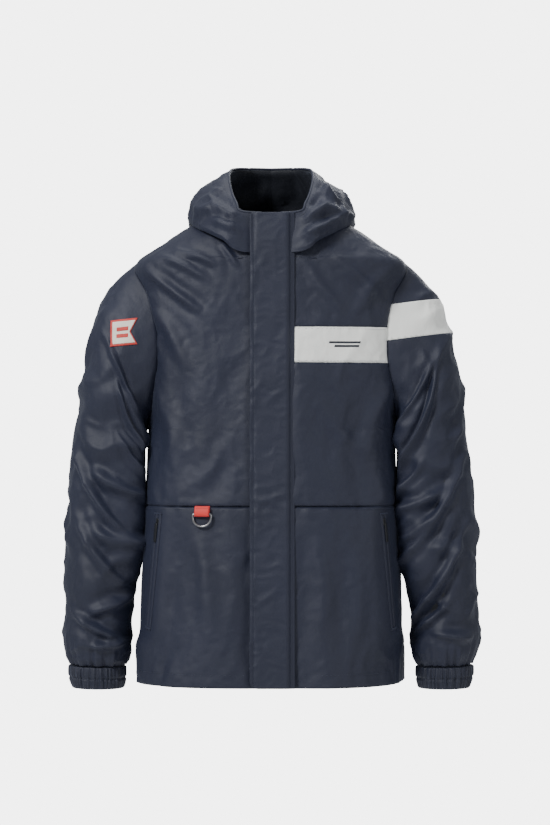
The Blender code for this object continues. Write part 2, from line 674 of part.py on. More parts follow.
def pivots(ring_frame):
    sockets = [f"stud_socket_{i + 1}" for i in range(STUD_COUNT)]
    flap_lift = FLAP_CLEARANCE + FLAP_THICKNESS / 2
    pivot("storm_flap_hinge", closure_point(FLAP_SEAM_X, flap_lift, WAIST_Z), ["storm_flap", *sockets])
    pivot("zip_slide", closure_point(0, 0, SLIDER_FOOT), ["zip_slider", "zip_pull_tab"])
    for side, word in ((1, "left"), (-1, "right")):
        frame = PocketFrame(side)
        slide = pivot(f"pocket_slide_{word}", frame.at(0.0105, 0, 0), [f"pocket_slider_{word}"])
        pivot(f"pocket_pull_hinge_{word}", frame.at(*PULL_PIVOT), [f"pocket_pull_{word}"], slide)
        tip = (side * (BODY_STATIONS[6, 4] + SLEEVE_STANDOFF), 0, SHOULDER_TIP_Z)
        own = ["sleeve_left_cap", "sleeve_stripe"] if side > 0 else ["sleeve_badge"]
        pivot(f"sleeve_hinge_{word}", tip, [f"sleeve_{word}", f"sleeve_lining_{word}", f"cuff_{word}",
                                            f"cuff_elastic_{word}", *own])
    pivot("ring_hinge", ring_frame.at(BAR_DROP, 0, BAR_OUT), ["d_ring"])
    pivot("hood_hinge", HOOD_PIVOT, ["hood_left_panel", "hood_centre_panel", "hood_right_panel", "hood_lining"])


def main():
    for obj in list(bpy.data.objects):
        bpy.data.objects.remove(obj)
    front_panels()
    back_panels()
    linings()
    sleeves()
    sleeve_badge()
    hood()
    front_zip()
    storm_flap()
    press_studs()
    hand_pockets()
    frame = RingFrame()
    ring_tab(frame)
    d_ring(frame)
    neck_fittings()
    pivots(frame)


main()
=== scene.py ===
"""The looks of a hooded foul weather jacket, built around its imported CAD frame.

Cloth is made as fine grids over the same surfaces as the CAD shell, with folds, gathers and seams worked in.
"""

import bmesh
import bpy
import numpy as np
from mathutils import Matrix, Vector
from mathutils.bvhtree import BVHTree


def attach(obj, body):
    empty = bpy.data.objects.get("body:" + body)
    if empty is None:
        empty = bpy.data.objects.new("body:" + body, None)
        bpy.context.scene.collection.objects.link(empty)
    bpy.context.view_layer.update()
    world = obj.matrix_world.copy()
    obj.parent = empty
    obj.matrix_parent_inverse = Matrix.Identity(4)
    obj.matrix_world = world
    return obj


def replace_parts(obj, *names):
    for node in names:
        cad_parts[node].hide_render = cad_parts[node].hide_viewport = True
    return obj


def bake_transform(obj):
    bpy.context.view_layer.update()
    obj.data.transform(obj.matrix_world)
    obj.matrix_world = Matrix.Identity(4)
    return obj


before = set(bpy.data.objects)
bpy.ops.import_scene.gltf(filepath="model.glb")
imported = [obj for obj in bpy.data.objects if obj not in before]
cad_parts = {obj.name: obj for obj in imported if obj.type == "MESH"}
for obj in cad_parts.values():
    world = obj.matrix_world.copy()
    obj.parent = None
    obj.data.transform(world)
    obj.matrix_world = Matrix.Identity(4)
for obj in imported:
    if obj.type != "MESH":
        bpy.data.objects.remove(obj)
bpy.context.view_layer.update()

# The driving dimensions of the frame, as in its CAD source
HEM_Z, WAIST_Z, COLLAR_TOP_Z = -0.673, -0.411, 0.018
ARMHOLE_LOW_Z, SHOULDER_TIP_Z = -0.300, -0.050
ARMHOLE_MIDDLE = (ARMHOLE_LOW_Z + SHOULDER_TIP_Z) / 2
ARMHOLE_HALF = (SHOULDER_TIP_Z - ARMHOLE_LOW_Z) / 2
ARMHOLE_HALF_DEPTH = 0.070
FRONT_TOP_Y, FRONT_LEAN = -0.100, 0.0715
TILT = np.hypot(1, FRONT_LEAN)
SQUARENESS = 3.0
ZIP_EDGE = 0.0135
CHEST_STRIPE = (-0.201, -0.1487)
POCKET_TOP, POCKET_FOOT = (0.165, -0.424), (0.180, -0.588)
RING_X, RING_WIRE, RING_RADIUS, TAB_WIDTH = -0.099, 0.0015, 0.0137, 0.0215
BAR_DROP = 0.0110
TAB_REACH = RING_WIRE + 0.0012
BAR_OUT = 0.0016 + TAB_REACH
CHAIN_TOP, CHAIN_FOOT = -0.004, HEM_Z + 0.016
SLIDER_FOOT = CHAIN_TOP - 0.014
STUD_X = -0.0225
STUD_HEIGHTS = np.linspace(-0.065, -0.600, 4)

# Layers inside the shell: depths, and the share of its folds that the liner follows
LINER_DEPTH, LINER_FOLDS = 0.0078, 0.85
POCKET_BAG_DEPTH, FACING_DEPTH, HEM_TURN = 0.0046, 0.0016, 0.026

# Body sections: level, height at the side, front and back, half width, depth of the back
BODY = np.array([
    (-0.673, -0.673, -0.673, -0.673, 0.197, 0.138),
    (-0.540, -0.540, -0.540, -0.540, 0.194, 0.132),
    (-0.411, -0.411, -0.411, -0.411, 0.189, 0.129),
    (-0.300, -0.300, -0.300, -0.300, 0.185, 0.131),
    (-0.180, -0.180, -0.180, -0.180, 0.186, 0.133),
    (-0.100, -0.100, -0.100, -0.100, 0.192, 0.125),
    (-0.050, -0.050, -0.050, -0.050, 0.200, 0.110),
    (-0.020, -0.024, -0.047, -0.018, 0.163, 0.094),
    (0.010, 0.002, -0.044, 0.012, 0.124, 0.083),
    (0.030, 0.018, -0.041, 0.028, 0.094, 0.074),
])
NECK_LEVEL = 0.030

# Sleeve sections, cuff included: outer point (x, z), inner point (x, z), half depth, depth of the centre
SLEEVE = np.array([
    (0.200, -0.050, 0.185, -0.300, 0.070, 0.000),
    (0.232, -0.078, 0.189, -0.316, 0.076, 0.000),
    (0.256, -0.112, 0.193, -0.334, 0.080, 0.000),
    (0.274, -0.165, 0.1965, -0.360, 0.081, 0.000),
    (0.288, -0.255, 0.1985, -0.400, 0.078, -0.002),
    (0.299, -0.345, 0.2005, -0.445, 0.073, -0.005),
    (0.306, -0.435, 0.203, -0.500, 0.068, -0.009),
    (0.309, -0.525, 0.206, -0.560, 0.063, -0.014),
    (0.3075, -0.590, 0.210, -0.608, 0.056, -0.018),
    (0.3025, -0.648, 0.2150, -0.650, 0.045, -0.021),
])
CUFF = np.array([
    (0.3010, -0.6500, 0.2165, -0.6520, 0.0430, -0.021),
    (0.2990, -0.6670, 0.2180, -0.6685, 0.0420, -0.022),
    (0.2955, -0.6830, 0.2200, -0.6835, 0.0400, -0.023),
])

# Hood and collar: angle round the neck, rim, crest, foot and width of the fold
HOOD = np.array([
    (6, 0.0137, -0.1000, 0.018, 0.0137, -0.1024, -0.012, 0.0137, -0.1050, -0.0400, 0.0),
    (14, 0.033, -0.1000, 0.019, 0.0335, -0.1045, -0.012, 0.0345, -0.1095, -0.0400, 0.0),
    (45, 0.052, -0.0860, 0.036, 0.0660, -0.1010, 0.006, 0.0750, -0.1060, -0.0200, 0.0),
    (75, 0.062, -0.0350, 0.070, 0.0980, -0.0520, 0.046, 0.1165, -0.0565, 0.0010, 0.003),
    (100, 0.062, 0.0120, 0.089, 0.1060, 0.0080, 0.054, 0.1275, 0.0060, 0.0135, 0.006),
    (125, 0.054, 0.0480, 0.096, 0.1080, 0.0760, 0.042, 0.1220, 0.1160, -0.0180, 0.012),
    (150, 0.034, 0.0680, 0.098, 0.0860, 0.1280, 0.006, 0.0790, 0.1700, -0.1200, 0.020),
    (180, 0.000, 0.0760, 0.098, 0.0000, 0.1500, -0.006, 0.0000, 0.1870, -0.1650, 0.024),
])
HOOD_SIDE_SEAM = 150

NAVY = (0.0085, 0.0118, 0.0300)
NAVY_DARK = (0.0110, 0.0130, 0.0200)
BLACK = (0.010, 0.011, 0.014)
WHITE = (0.93, 0.94, 0.90)
RED = (0.70, 0.035, 0.028)
CREAM = (0.80, 0.74, 0.64)
STEEL = (0.30, 0.30, 0.31)


# ---------------------------------------------------------------- materials

def principled(name, colour, roughness, metallic=0.0, **more):
    made = bpy.data.materials.new(name)
    made.use_nodes = True
    shader = made.node_tree.nodes["Principled BSDF"]
    shader.inputs["Base Color"].default_value = (*colour, 1)
    shader.inputs["Roughness"].default_value = roughness
    shader.inputs["Metallic"].default_value = metallic
    for key, value in more.items():
        shader.inputs[key.replace("_", " ")].default_value = value
    return made


def link_colour_noise(made, colour, spread, scale, coordinates="Object"):
    """The base colour wanders a little, as dyed cloth and moulded parts do."""
    tree = made.node_tree
    place = tree.nodes.new("ShaderNodeTexCoord")
    noise = tree.nodes.new("ShaderNodeTexNoise")
    noise.inputs["Scale"].default_value = scale
    noise.inputs["Detail"].default_value = 5
    ramp = tree.nodes.new("ShaderNodeValToRGB")
    ramp.color_ramp.elements[0].position = 0.30
    ramp.color_ramp.elements[1].position = 0.70
    for element, share in zip(ramp.color_ramp.elements, (1 - spread, 1 + spread)):
        element.color = (*[min(1.0, c * share) for c in colour], 1)
    tree.links.new(place.outputs[coordinates], noise.inputs["Vector"])
    tree.links.new(noise.outputs["Fac"], ramp.inputs["Fac"])
    tree.links.new(ramp.outputs["Color"], tree.nodes["Principled BSDF"].inputs["Base Color"])
    return place


def bump_chain(made, heights):
    """heights is a list of (socket, distance in metres, strength), chained into the shader's normal."""
    tree = made.node_tree
    before = None
    for socket, distance, strength in heights:
        bump = tree.nodes.new("ShaderNodeBump")
        bump.inputs["Distance"].default_value = distance
        bump.inputs["Strength"].default_value = strength
        tree.links.new(socket, bump.inputs["Height"])
        if before:
            tree.links.new(before, bump.inputs["Normal"])
        before = bump.outputs["Normal"]
    tree.links.new(before, tree.nodes["Principled BSDF"].inputs["Normal"])


def woven(name, colour, roughness, yarn=0.0007, spread=0.10, crinkle=0.5, sheen=0.25, slub=0.35):
    """Plain weave on the cloth's own UV map, which is in metres, with slubs and a fine crinkle."""
    made = principled(name, colour, roughness)
    tree = made.node_tree
    shader = tree.nodes["Principled BSDF"]
    shader.inputs["Sheen Weight"].default_value = sheen
    shader.inputs["Sheen Roughness"].default_value = 0.45
    shader.inputs["Sheen Tint"].default_value = (0.55, 0.62, 0.80, 1)
    place = link_colour_noise(made, colour, spread, 9.0)
    threads = []
    for direction in ("X", "Y"):
        wave = tree.nodes.new("ShaderNodeTexWave")
        wave.bands_direction = direction
        wave.inputs["Scale"].default_value = 0.314 / yarn
        wave.inputs["Distortion"].default_value = 0.6
        wave.inputs["Detail"].default_value = 1.0
        tree.links.new(place.outputs["UV"], wave.inputs["Vector"])
        threads.append(wave.outputs["Fac"])
    product = tree.nodes.new("ShaderNodeMath")
    product.operation = "MULTIPLY"
    tree.links.new(threads[0], product.inputs[0])
    tree.links.new(threads[1], product.inputs[1])
    stretch = tree.nodes.new("ShaderNodeMapping")
    stretch.inputs["Scale"].default_value = (60, 900, 1)
    tree.links.new(place.outputs["UV"], stretch.inputs["Vector"])
    slubs = tree.nodes.new("ShaderNodeTexNoise")
    slubs.inputs["Scale"].default_value = 1.0
    slubs.inputs["Detail"].default_value = 3
    tree.links.new(stretch.outputs["Vector"], slubs.inputs["Vector"])
    wrinkle = tree.nodes.new("ShaderNodeTexNoise")
    wrinkle.inputs["Scale"].default_value = 85
    wrinkle.inputs["Detail"].default_value = 4
    wrinkle.inputs["Distortion"].default_value = 0.6
    tree.links.new(place.outputs["Object"], wrinkle.inputs["Vector"])
    bump_chain(made, [(wrinkle.outputs["Fac"], 0.0012, crinkle), (slubs.outputs["Fac"], 0.0002, slub),
                      (product.outputs["Value"], 0.00012, 0.5)])
    return made


def moulded(name, colour, roughness):
    made = principled(name, colour, roughness, Coat_Weight=0.15, Coat_Roughness=0.3)
    place = link_colour_noise(made, colour, 0.15, 220.0)
    grain = made.node_tree.nodes.new("ShaderNodeTexNoise")
    grain.inputs["Scale"].default_value = 2600
    made.node_tree.links.new(place.outputs["Object"], grain.inputs["Vector"])
    bump_chain(made, [(grain.outputs["Fac"], 0.00005, 0.4)])
    return made


def metal(name, colour, roughness):
    made = principled(name, colour, roughness, 1.0)
    place = link_colour_noise(made, colour, 0.18, 300.0)
    scratches = made.node_tree.nodes.new("ShaderNodeTexNoise")
    scratches.inputs["Scale"].default_value = 900
    made.node_tree.links.new(place.outputs["Object"], scratches.inputs["Vector"])
    bump_chain(made, [(scratches.outputs["Fac"], 0.00004, 0.3)])
    return made


SHELL = woven("shell_cloth", NAVY, 0.58, crinkle=0.35, sheen=0.08)
WHITE_CLOTH = woven("white_cloth", WHITE, 0.55, spread=0.03, sheen=0.1)
LINING = woven("lining_cloth", NAVY_DARK, 0.62, yarn=0.0011, crinkle=0.7, sheen=0.2)
CUFF_CLOTH = woven("cuff_cloth", tuple(0.85 * c for c in NAVY), 0.55)
TAPE = woven("zip_tape_cloth", BLACK, 0.75, yarn=0.0009, crinkle=0.1, sheen=0.1)
WEBBING = woven("red_webbing_cloth", RED, 0.62, yarn=0.0016, spread=0.08, crinkle=0.1, sheen=0.2, slub=0.1)
THREAD = woven("navy_thread", tuple(1.25 * c for c in NAVY), 0.6, yarn=0.0004, crinkle=0.05)
WHITE_THREAD = woven("white_thread", (0.66, 0.67, 0.66), 0.6, yarn=0.0004, crinkle=0.05)
RED_THREAD = woven("red_thread", (0.45, 0.02, 0.018), 0.6, yarn=0.0004, crinkle=0.05)
BADGE_CREAM = woven("badge_cream", CREAM, 0.6, yarn=0.0008, spread=0.03, crinkle=0.1, sheen=0.1)
BADGE_RED = woven("badge_red", (0.55, 0.045, 0.035), 0.6, yarn=0.0008, spread=0.05, crinkle=0.1, sheen=0.1)
PRINT = principled("navy_print", (0.012, 0.015, 0.026), 0.45)
link_colour_noise(PRINT, (0.012, 0.015, 0.026), 0.1, 150.0)
PLASTIC = moulded("black_moulding", BLACK, 0.34)
GUNMETAL = metal("gun_metal", STEEL, 0.30)
STUD_METAL = metal("stud_metal", (0.36, 0.36, 0.37), 0.34)


# ---------------------------------------------------------------- surfaces

def hermite(stations, level):
    """Rows of the stations at these levels, by a smooth cubic through them."""
    keys, values = stations[:, 0], stations[:, 1:]
    level = np.clip(np.asarray(level, float), keys[0], keys[-1])
    i = np.clip(np.searchsorted(keys, level) - 1, 0, len(keys) - 2)
    slopes = np.gradient(values, keys, axis=0)
    h = (keys[i + 1] - keys[i])[..., None]
    s = (level - keys[i])[..., None] / h
    return ((1 + 2 * s) * (1 - s) ** 2 * values[i] + s * (1 - s) ** 2 * h * slopes[i]
            + s * s * (3 - 2 * s) * values[i + 1] + s * s * (s - 1) * h * slopes[i + 1])


def front_depth(z):
    return FRONT_TOP_Y - FRONT_LEAN * (COLLAR_TOP_Z - z)


def body(angle, level):
    """The shell's smooth surface. angle is 0 at the centre front, a right angle at +X."""
    angle, level = np.broadcast_arrays(np.asarray(angle, float), np.asarray(level, float))
    row = hermite(BODY, level)
    s, c = np.sin(angle), np.cos(angle)
    z_mid = np.where(c > 0, row[..., 1], row[..., 2])
    depth = np.where(c > 0, -front_depth(row[..., 1]), row[..., 4])
    power = 2 / SQUARENESS
    return np.stack([row[..., 3] * np.sign(s) * np.abs(s) ** power, -depth * np.sign(c) * np.abs(c) ** power,
                     row[..., 0] + (z_mid - row[..., 0]) * c * c], -1)


def unit(v):
    return v / np.maximum(np.linalg.norm(v, axis=-1, keepdims=True), 1e-12)


def body_normal(angle, level):
    step = 0.02
    around = body(angle + step, level) - body(angle - step, level)
    up = body(angle, np.minimum(level + 0.004, NECK_LEVEL)) - body(angle, np.maximum(level - 0.004, HEM_Z))
    return unit(np.cross(around, up))


def angle_at_x(x, level):
    half_width = hermite(BODY, level)[..., 3]
    return np.sign(x) * np.arcsin((np.abs(x) / half_width) ** (SQUARENESS / 2))


def armhole_angle(level, back):
    share = 1 - ((level - ARMHOLE_MIDDLE) / ARMHOLE_HALF) ** 2
    if share <= 0:
        return np.pi / 2
    y = ARMHOLE_HALF_DEPTH * np.sqrt(share)
    depth = hermite(BODY, level)[4] if back else -front_depth(level)
    swing = np.arcsin(min(1.0, (y / depth) ** (SQUARENESS / 2)))
    return np.pi / 2 + (swing if back else -swing)


def smooth(value, low, high):
    t = np.clip((value - low) / (high - low), 0, 1)
    return t * t * (3 - 2 * t)


def waves(points, seed, longest, shortest, count=26, stretch=(1, 1, 1)):
    """A smooth random field of about unit size, from plane waves of these lengths in metres."""
    rng = np.random.default_rng(seed)
    total = np.zeros(points.shape[:-1])
    scaled = points * np.array(stretch)
    for _ in range(count):
        way = unit(rng.normal(size=3))
        length = np.exp(rng.uniform(np.log(shortest), np.log(longest)))
        total += np.sin(scaled @ way * 2 * np.pi / length
                        + rng.uniform(0, 2 * np.pi)) * (length / longest) ** 0.6
    return total / np.sqrt(count / 2)


def creases(points, seed, longest, shortest, stretch=(1, 1, 1), sharp=0.10):
    """Soft valleys between sharper ridges, as stiff cloth buckles."""
    bent = points + 0.25 * longest * np.stack([waves(points, seed + 31 + i, longest, longest / 2, 8)
                                               for i in range(3)], -1) * 0.3
    return 0.55 - np.sqrt(waves(bent, seed, longest, shortest, 22, stretch) ** 2 + sharp ** 2)


def stroke(points, line, width, height, side=0):
    """A fold along a line of (x, z) points seen from the front: a ridge with a hollow under it."""
    xz = points[..., [0, 2]]
    line = np.array(line, float)
    lengths = np.linalg.norm(np.diff(line, axis=0), axis=1)
    best = np.full(xz.shape[:-1], 1e9)
    signed = np.zeros_like(best)
    along = np.zeros_like(best)
    for i, length in enumerate(lengths):
        way = (line[i + 1] - line[i]) / length
        relative = xz - line[i]
        t = relative @ way
        nearest = line[i] + np.clip(t, 0, length)[..., None] * way
        far = np.linalg.norm(xz - nearest, axis=-1)
        closer = far < best
        best = np.where(closer, far, best)
        signed = np.where(closer, relative @ np.array([way[1], -way[0]]), signed)
        along = np.where(closer, (lengths[:i].sum() + np.clip(t, 0, length)) / lengths.sum(), along)
    taper = np.sin(np.pi * np.clip(along, 0.02, 0.98)) ** 0.7
    ridge = np.exp(-(best / width) ** 2)
    hollow = np.exp(-((np.abs(signed) - 1.7 * width) / (1.2 * width)) ** 2
                    - (np.maximum(best - np.abs(signed), 0) / width) ** 2)
    facing = smooth(-side * points[..., 1], -0.02, 0.02) if side else 1.0
    return height * taper * facing * (ridge - 0.45 * hollow)


# Folds of the body seen from the front: line, width, height
BODY_FOLDS = [
    (((-0.186, -0.062), (-0.140, -0.098), (-0.098, -0.130)), 0.0065, 0.0050),
    (((-0.160, -0.044), (-0.125, -0.060), (-0.092, -0.080)), 0.0055, 0.0036),
    (((-0.142, -0.034), (-0.105, -0.045), (-0.075, -0.060)), 0.0050, 0.0030),
    (((-0.074, -0.022), (-0.060, -0.042), (-0.048, -0.064)), 0.0045, 0.0030),
    (((-0.180, -0.110), (-0.150, -0.150), (-0.120, -0.215)), 0.0100, 0.0036),
    (((0.046, -0.048), (0.070, -0.085), (0.105, -0.128)), 0.0080, 0.0030),
    (((0.088, -0.036), (0.120, -0.070), (0.168, -0.112)), 0.0080, 0.0034),
    (((0.180, -0.066), (0.150, -0.085), (0.118, -0.140)), 0.0090, 0.0028),
    (((0.178, -0.215), (0.150, -0.290), (0.138, -0.370)), 0.0120, 0.0036),
    (((-0.172, -0.230), (-0.146, -0.300), (-0.138, -0.380)), 0.0120, 0.0036),
    (((-0.120, -0.420), (-0.096, -0.500), (-0.088, -0.610)), 0.0130, 0.0030),
    (((0.060, -0.430), (0.075, -0.520), (0.070, -0.630)), 0.0140, 0.0030),
    (((0.120, -0.440), (0.128, -0.540), (0.118, -0.650)), 0.0120, 0.0030),
    (((-0.060, -0.300), (-0.080, -0.350), (-0.110, -0.385)), 0.0100, 0.0022),
    (((0.070, -0.260), (0.110, -0.310), (0.160, -0.340)), 0.0110, 0.0022),
]


def pocket_distance(points):
    """Distance in the front view from the nearer hand pocket's line."""
    t = (points[..., 2] - POCKET_TOP[1]) / (POCKET_FOOT[1] - POCKET_TOP[1])
    line_x = POCKET_TOP[0] + (POCKET_FOOT[0] - POCKET_TOP[0]) * np.clip(t, 0, 1)
    beyond = np.maximum(np.maximum(-t, t - 1), 0) * (POCKET_TOP[1] - POCKET_FOOT[1])
    return np.hypot(np.abs(points[..., 0]) - line_x, beyond)


def body_lift(points):
    """How far the folds carry the body's cloth outwards."""
    x, y, z = points[..., 0], points[..., 1], points[..., 2]
    low = smooth(-z, 0.04, 0.30)
    lift = 0.0030 * low * waves(points, 3, 0.22, 0.10, stretch=(1.6, 1.6, 0.45))
    lift += 0.0016 * creases(points, 11, 0.11, 0.05, stretch=(1.3, 1.3, 0.7)) * (0.5 + 0.5 * low)
    lift += 0.00045 * creases(points, 17, 0.030, 0.014)
    for line, width, height in BODY_FOLDS:
        lift += 1.35 * stroke(points, line, width, height, side=1)
    # The back hangs in two long folds from the shoulder blades.
    for fold_x, width, seed in ((-0.085, 0.020, 5), (0.100, 0.022, 6), (0.010, 0.026, 7)):
        drift = 0.014 * waves(points * np.array([0, 0, 1.0]), seed, 0.35, 0.18, 6)
        lift += 0.0036 * np.exp(-((x - fold_x
                                   - drift) / width) ** 2) * smooth(y, 0, 0.03) * smooth(-z, 0.10, 0.32)
    # Short puckers stand across the waist seam and the hem.
    for seam, reach, size in ((WAIST_Z, 0.013, 0.00075), (HEM_Z + 0.020, 0.012, 0.0007)):
        ripple = waves(points * np.array([1, 1, 0.15]), 23, 0.028, 0.013, 14)
        lift += size * ripple * np.exp(-np.abs(z - seam) / reach)
    lift -= 0.0012 * np.exp(-((z - WAIST_Z) / 0.0022) ** 2)
    # The hem waves a little.
    hem_flare = 0.0022 * smooth(-z, 0.58, 0.673) * waves(points * np.array([1, 1, 0]), 29, 0.16, 0.09, 10)
    lift += hem_flare
    calm = smooth(pocket_distance(points), 0.008, 0.032) * 0.97 + 0.03
    ring = np.hypot(x - RING_X, z - WAIST_Z + 0.012)
    calm *= np.where(y < 0, smooth(ring, 0.010, 0.032) * 0.85 + 0.15, 1)
    calm *= np.where(y < 0, smooth(np.abs(x), 0.012, 0.045) * 0.85 + 0.15, 1)
    calm *= 1 - 0.8 * smooth(z, -0.02, 0.02)
    return lift * calm


# ---------------------------------------------------------------- meshes

def mesh_object(name, verts, faces, finish, uvs=None):
    mesh = bpy.data.meshes.new(name)
    mesh.from_pydata(np.asarray(verts, float).reshape(-1, 3).tolist(), [], faces)
    if uvs is not None:
        layer = mesh.uv_layers.new(name="cloth")
        index = np.zeros(len(mesh.loops), int)
        mesh.loops.foreach_get("vertex_index", index)
        layer.data.foreach_set("uv", np.asarray(uvs, float).reshape(-1, 2)[index].ravel())
    mesh.materials.append(finish)
    mesh.shade_smooth()
    obj = bpy.data.objects.new(name, mesh)
    bpy.context.scene.collection.objects.link(obj)
    return obj


def grid_faces(rows, cols, wrap=False):
    steps = cols if wrap else cols - 1
    r, c = np.meshgrid(np.arange(rows - 1), np.arange(steps), indexing="ij")
    a, b = r * cols + c, r * cols + (c + 1) % cols
    return np.stack([a, b, b + cols, a + cols], -1).reshape(-1, 4).tolist()


def cloth_uvs(grid):
    """Lengths along and across the grid, in metres."""
    across = np.concatenate([np.zeros((len(grid), 1)),
                             np.linalg.norm(np.diff(grid, axis=1), axis=2).cumsum(1)], 1)
    up = np.concatenate([np.zeros((1, grid.shape[1])),
                         np.linalg.norm(np.diff(grid, axis=0), axis=2).cumsum(0)], 0)
    middle = grid.shape[1] // 2
    return np.stack([across - across[:, middle:middle + 1],
                     np.repeat(up[:, middle:middle + 1], grid.shape[1], 1)], -1)


def cloth_object(name, grid, finish, thickness=0.0013, wrap=False):
    """A sheet of cloth on a grid whose faces look outwards, made solid inwards."""
    rows, cols = grid.shape[:2]
    obj = mesh_object(name, grid, grid_faces(rows, cols, wrap), finish, cloth_uvs(grid))
    thicken(obj, thickness)
    return obj


def thicken(obj, thickness):
    solid = obj.modifiers.new("cloth", "SOLIDIFY")
    solid.thickness = thickness
    solid.offset = -1


def grid_normals(grid):
    return unit(np.cross(np.gradient(grid, axis=1), np.gradient(grid, axis=0)))


def turned_in(grid, edges, drop=0.0010, reach=0.0022):
    """The named edges of a panel roll inwards to their seams."""
    normals = grid_normals(grid)
    sink = np.zeros(grid.shape[:2])
    for edge in edges:
        axis = 0 if edge in ("low", "high") else 1
        steps = np.linalg.norm(np.diff(grid, axis=axis), axis=2)
        run = np.concatenate([np.zeros_like(np.take(steps, [0], axis)), steps.cumsum(axis)], axis)
        if edge in ("high", "end"):
            run = np.take(run, [-1], axis) - run
        sink = np.maximum(sink, np.exp(-(run / reach) ** 2))
    return grid - normals * (drop * sink)[..., None]


def resampled(line, count):
    run = np.concatenate([[0], np.linalg.norm(np.diff(line, axis=0), axis=1).cumsum()])
    at = np.linspace(0, run[-1], count)
    return np.stack([np.interp(at, run, line[:, i]) for i in range(line.shape[1])], -1)


def stitches(name, line, normals, finish, body_name, pitch=0.0034, length=0.0025, width=0.00055,
             rise=0.00045):
    """A row of lockstitches: short arched beads of thread lying on the cloth."""
    run = np.linalg.norm(np.diff(line, axis=0), axis=1).sum()
    count = max(2, int(run / pitch))
    both = resampled(np.concatenate([line, normals], 1), count * 2 + 1)
    verts, faces = [], []
    for i in range(count):
        centre, normal = both[2 * i + 1, :3], unit(both[2 * i + 1, 3:])
        way = unit(both[2 * i + 2, :3] - both[2 * i, :3])
        across = np.cross(normal, way)
        for along, high in ((-0.5, 0.1), (-0.3, 0.8), (0.3, 0.8), (0.5, 0.1)):
            middle = centre + way * along * length
            for wide, tall in ((-0.5, -0.3), (-0.32, high), (0.32, high), (0.5, -0.3)):
                verts.append(middle + across * wide * width + normal * tall * rise)
        base = i * 16
        for k in range(3):
            for j in range(4):
                a, b = base + 4 * k + j, base + 4 * k + (j + 1) % 4
                faces.append((a, b, b + 4, a + 4))
        faces += [(base + 3, base + 2, base + 1, base), (base + 12, base + 13, base + 14, base + 15)]
    obj = mesh_object(name, verts, faces, finish, np.array(verts)[:, [0, 2]])
    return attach(obj, body_name) if body_name else obj


def swept(name, line, ups, profile, finish, closed=True):
    """A strip with this (across, up) outline carried along a line, with capped ends."""
    line, ups = np.asarray(line), np.asarray(ups)
    way = unit(np.gradient(line, axis=0))
    across = unit(np.cross(way, ups))
    up = np.cross(across, way)
    profile = np.array(profile)
    grid = line[:, None] + across[:, None] * profile[None, :, 0, None] + up[:, None] * profile[None, :, 1,
                                                                                               None]
    rows, cols = grid.shape[:2]
    faces = grid_faces(rows, cols, closed)
    if closed:
        faces += [tuple(range(cols))[::-1], tuple((rows - 1) * cols + i for i in range(cols))]
    run = np.concatenate([[0], np.linalg.norm(np.diff(line, axis=0), axis=1).cumsum()])
    lap = np.concatenate([[0], np.linalg.norm(np.diff(profile, axis=0), axis=1).cumsum()])
    uvs = np.stack(np.meshgrid(run, lap, indexing="ij"), -1)
    obj = mesh_object(name, grid, faces, finish, uvs)
    recalculate(obj)
    return obj


def recalculate(obj):
    work = bmesh.new()
    work.from_mesh(obj.data)
    bmesh.ops.recalc_face_normals(work, faces=work.faces)
    work.to_mesh(obj.data)
    work.free()


# ---------------------------------------------------------------- body

def even_angles(levels, start, end, columns):
    """Angles between two edges, evenly spaced along the cloth at each level."""
    rows = []
    for level in levels:
        dense = np.linspace(start(level), end(level), 240)
        line = body(dense, level)
        run = np.concatenate([[0], np.linalg.norm(np.diff(line, axis=0), axis=1).cumsum()])
        rows.append(np.interp(np.linspace(0, run[-1], columns), run, dense))
    return np.array(rows)


def body_grid(levels, start, end, columns, depth=0.0, folds=1.0):
    angles = even_angles(levels, start, end, columns)
    heights = np.repeat(np.asarray(levels)[:, None], columns, 1)
    smooth_points = body(angles, heights)
    normals = body_normal(angles, heights)
    return smooth_points + normals * (body_lift(smooth_points) * folds - depth)[..., None]


def surface_line(xs, zs):
    """Points and normals on the folded front of the body."""
    angles = angle_at_x(np.asarray(xs), np.asarray(zs))
    flat = body(angles, zs)
    normals = body_normal(angles, zs)
    return flat + normals * body_lift(flat)[:, None], normals


def front_edge(side):
    return lambda level: float(angle_at_x(side * ZIP_EDGE, level))


def side_edge(side, back):
    return lambda level: side * armhole_angle(level, back)


def levels_between(low, high, step=0.0030):
    return np.linspace(low, high, int((high - low) / step) + 2)


def front_panels():
    for side, word in ((1, "left"), (-1, "right")):
        bands = [("lower", HEM_Z, WAIST_Z, SHELL, [f"front_{word}_lower_panel"])]
        if side > 0:
            bands += [("middle", WAIST_Z, CHEST_STRIPE[0], SHELL, ["front_left_middle_panel"]),
                      ("stripe", *CHEST_STRIPE, WHITE_CLOTH, ["chest_stripe"]),
                      ("upper", CHEST_STRIPE[1], NECK_LEVEL, SHELL, ["front_left_upper_panel"])]
        else:
            bands += [("upper", WAIST_Z, NECK_LEVEL, SHELL, ["front_right_upper_panel"])]
        for kind, low, high, finish, nodes in bands:
            start, end = (front_edge(side), side_edge(side, False))[::side]
            grid = body_grid(levels_between(low, high), start, end, 74)
            edges = ["start", "end"] + (["high"] if high < NECK_LEVEL else []) + (["low"]
                                                                                  if low > HEM_Z else [])
            obj = cloth_object(f"front_{word}_{kind}_cloth", turned_in(grid, edges), finish)
            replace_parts(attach(obj, "shell"), *nodes)


def back_panels():
    for kind, low, high in (("lower", HEM_Z, WAIST_Z), ("upper", WAIST_Z, NECK_LEVEL)):
        end = lambda level: 2 * np.pi - armhole_angle(level, True)
        grid = body_grid(levels_between(low, high), side_edge(1, True), end, 170)
        edges = ["start", "end"] + (["low"] if kind == "upper" else ["high"])
        obj = cloth_object(f"back_{kind}_cloth", turned_in(grid, edges), SHELL)
        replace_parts(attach(obj, "shell"), f"back_{kind}_panel")


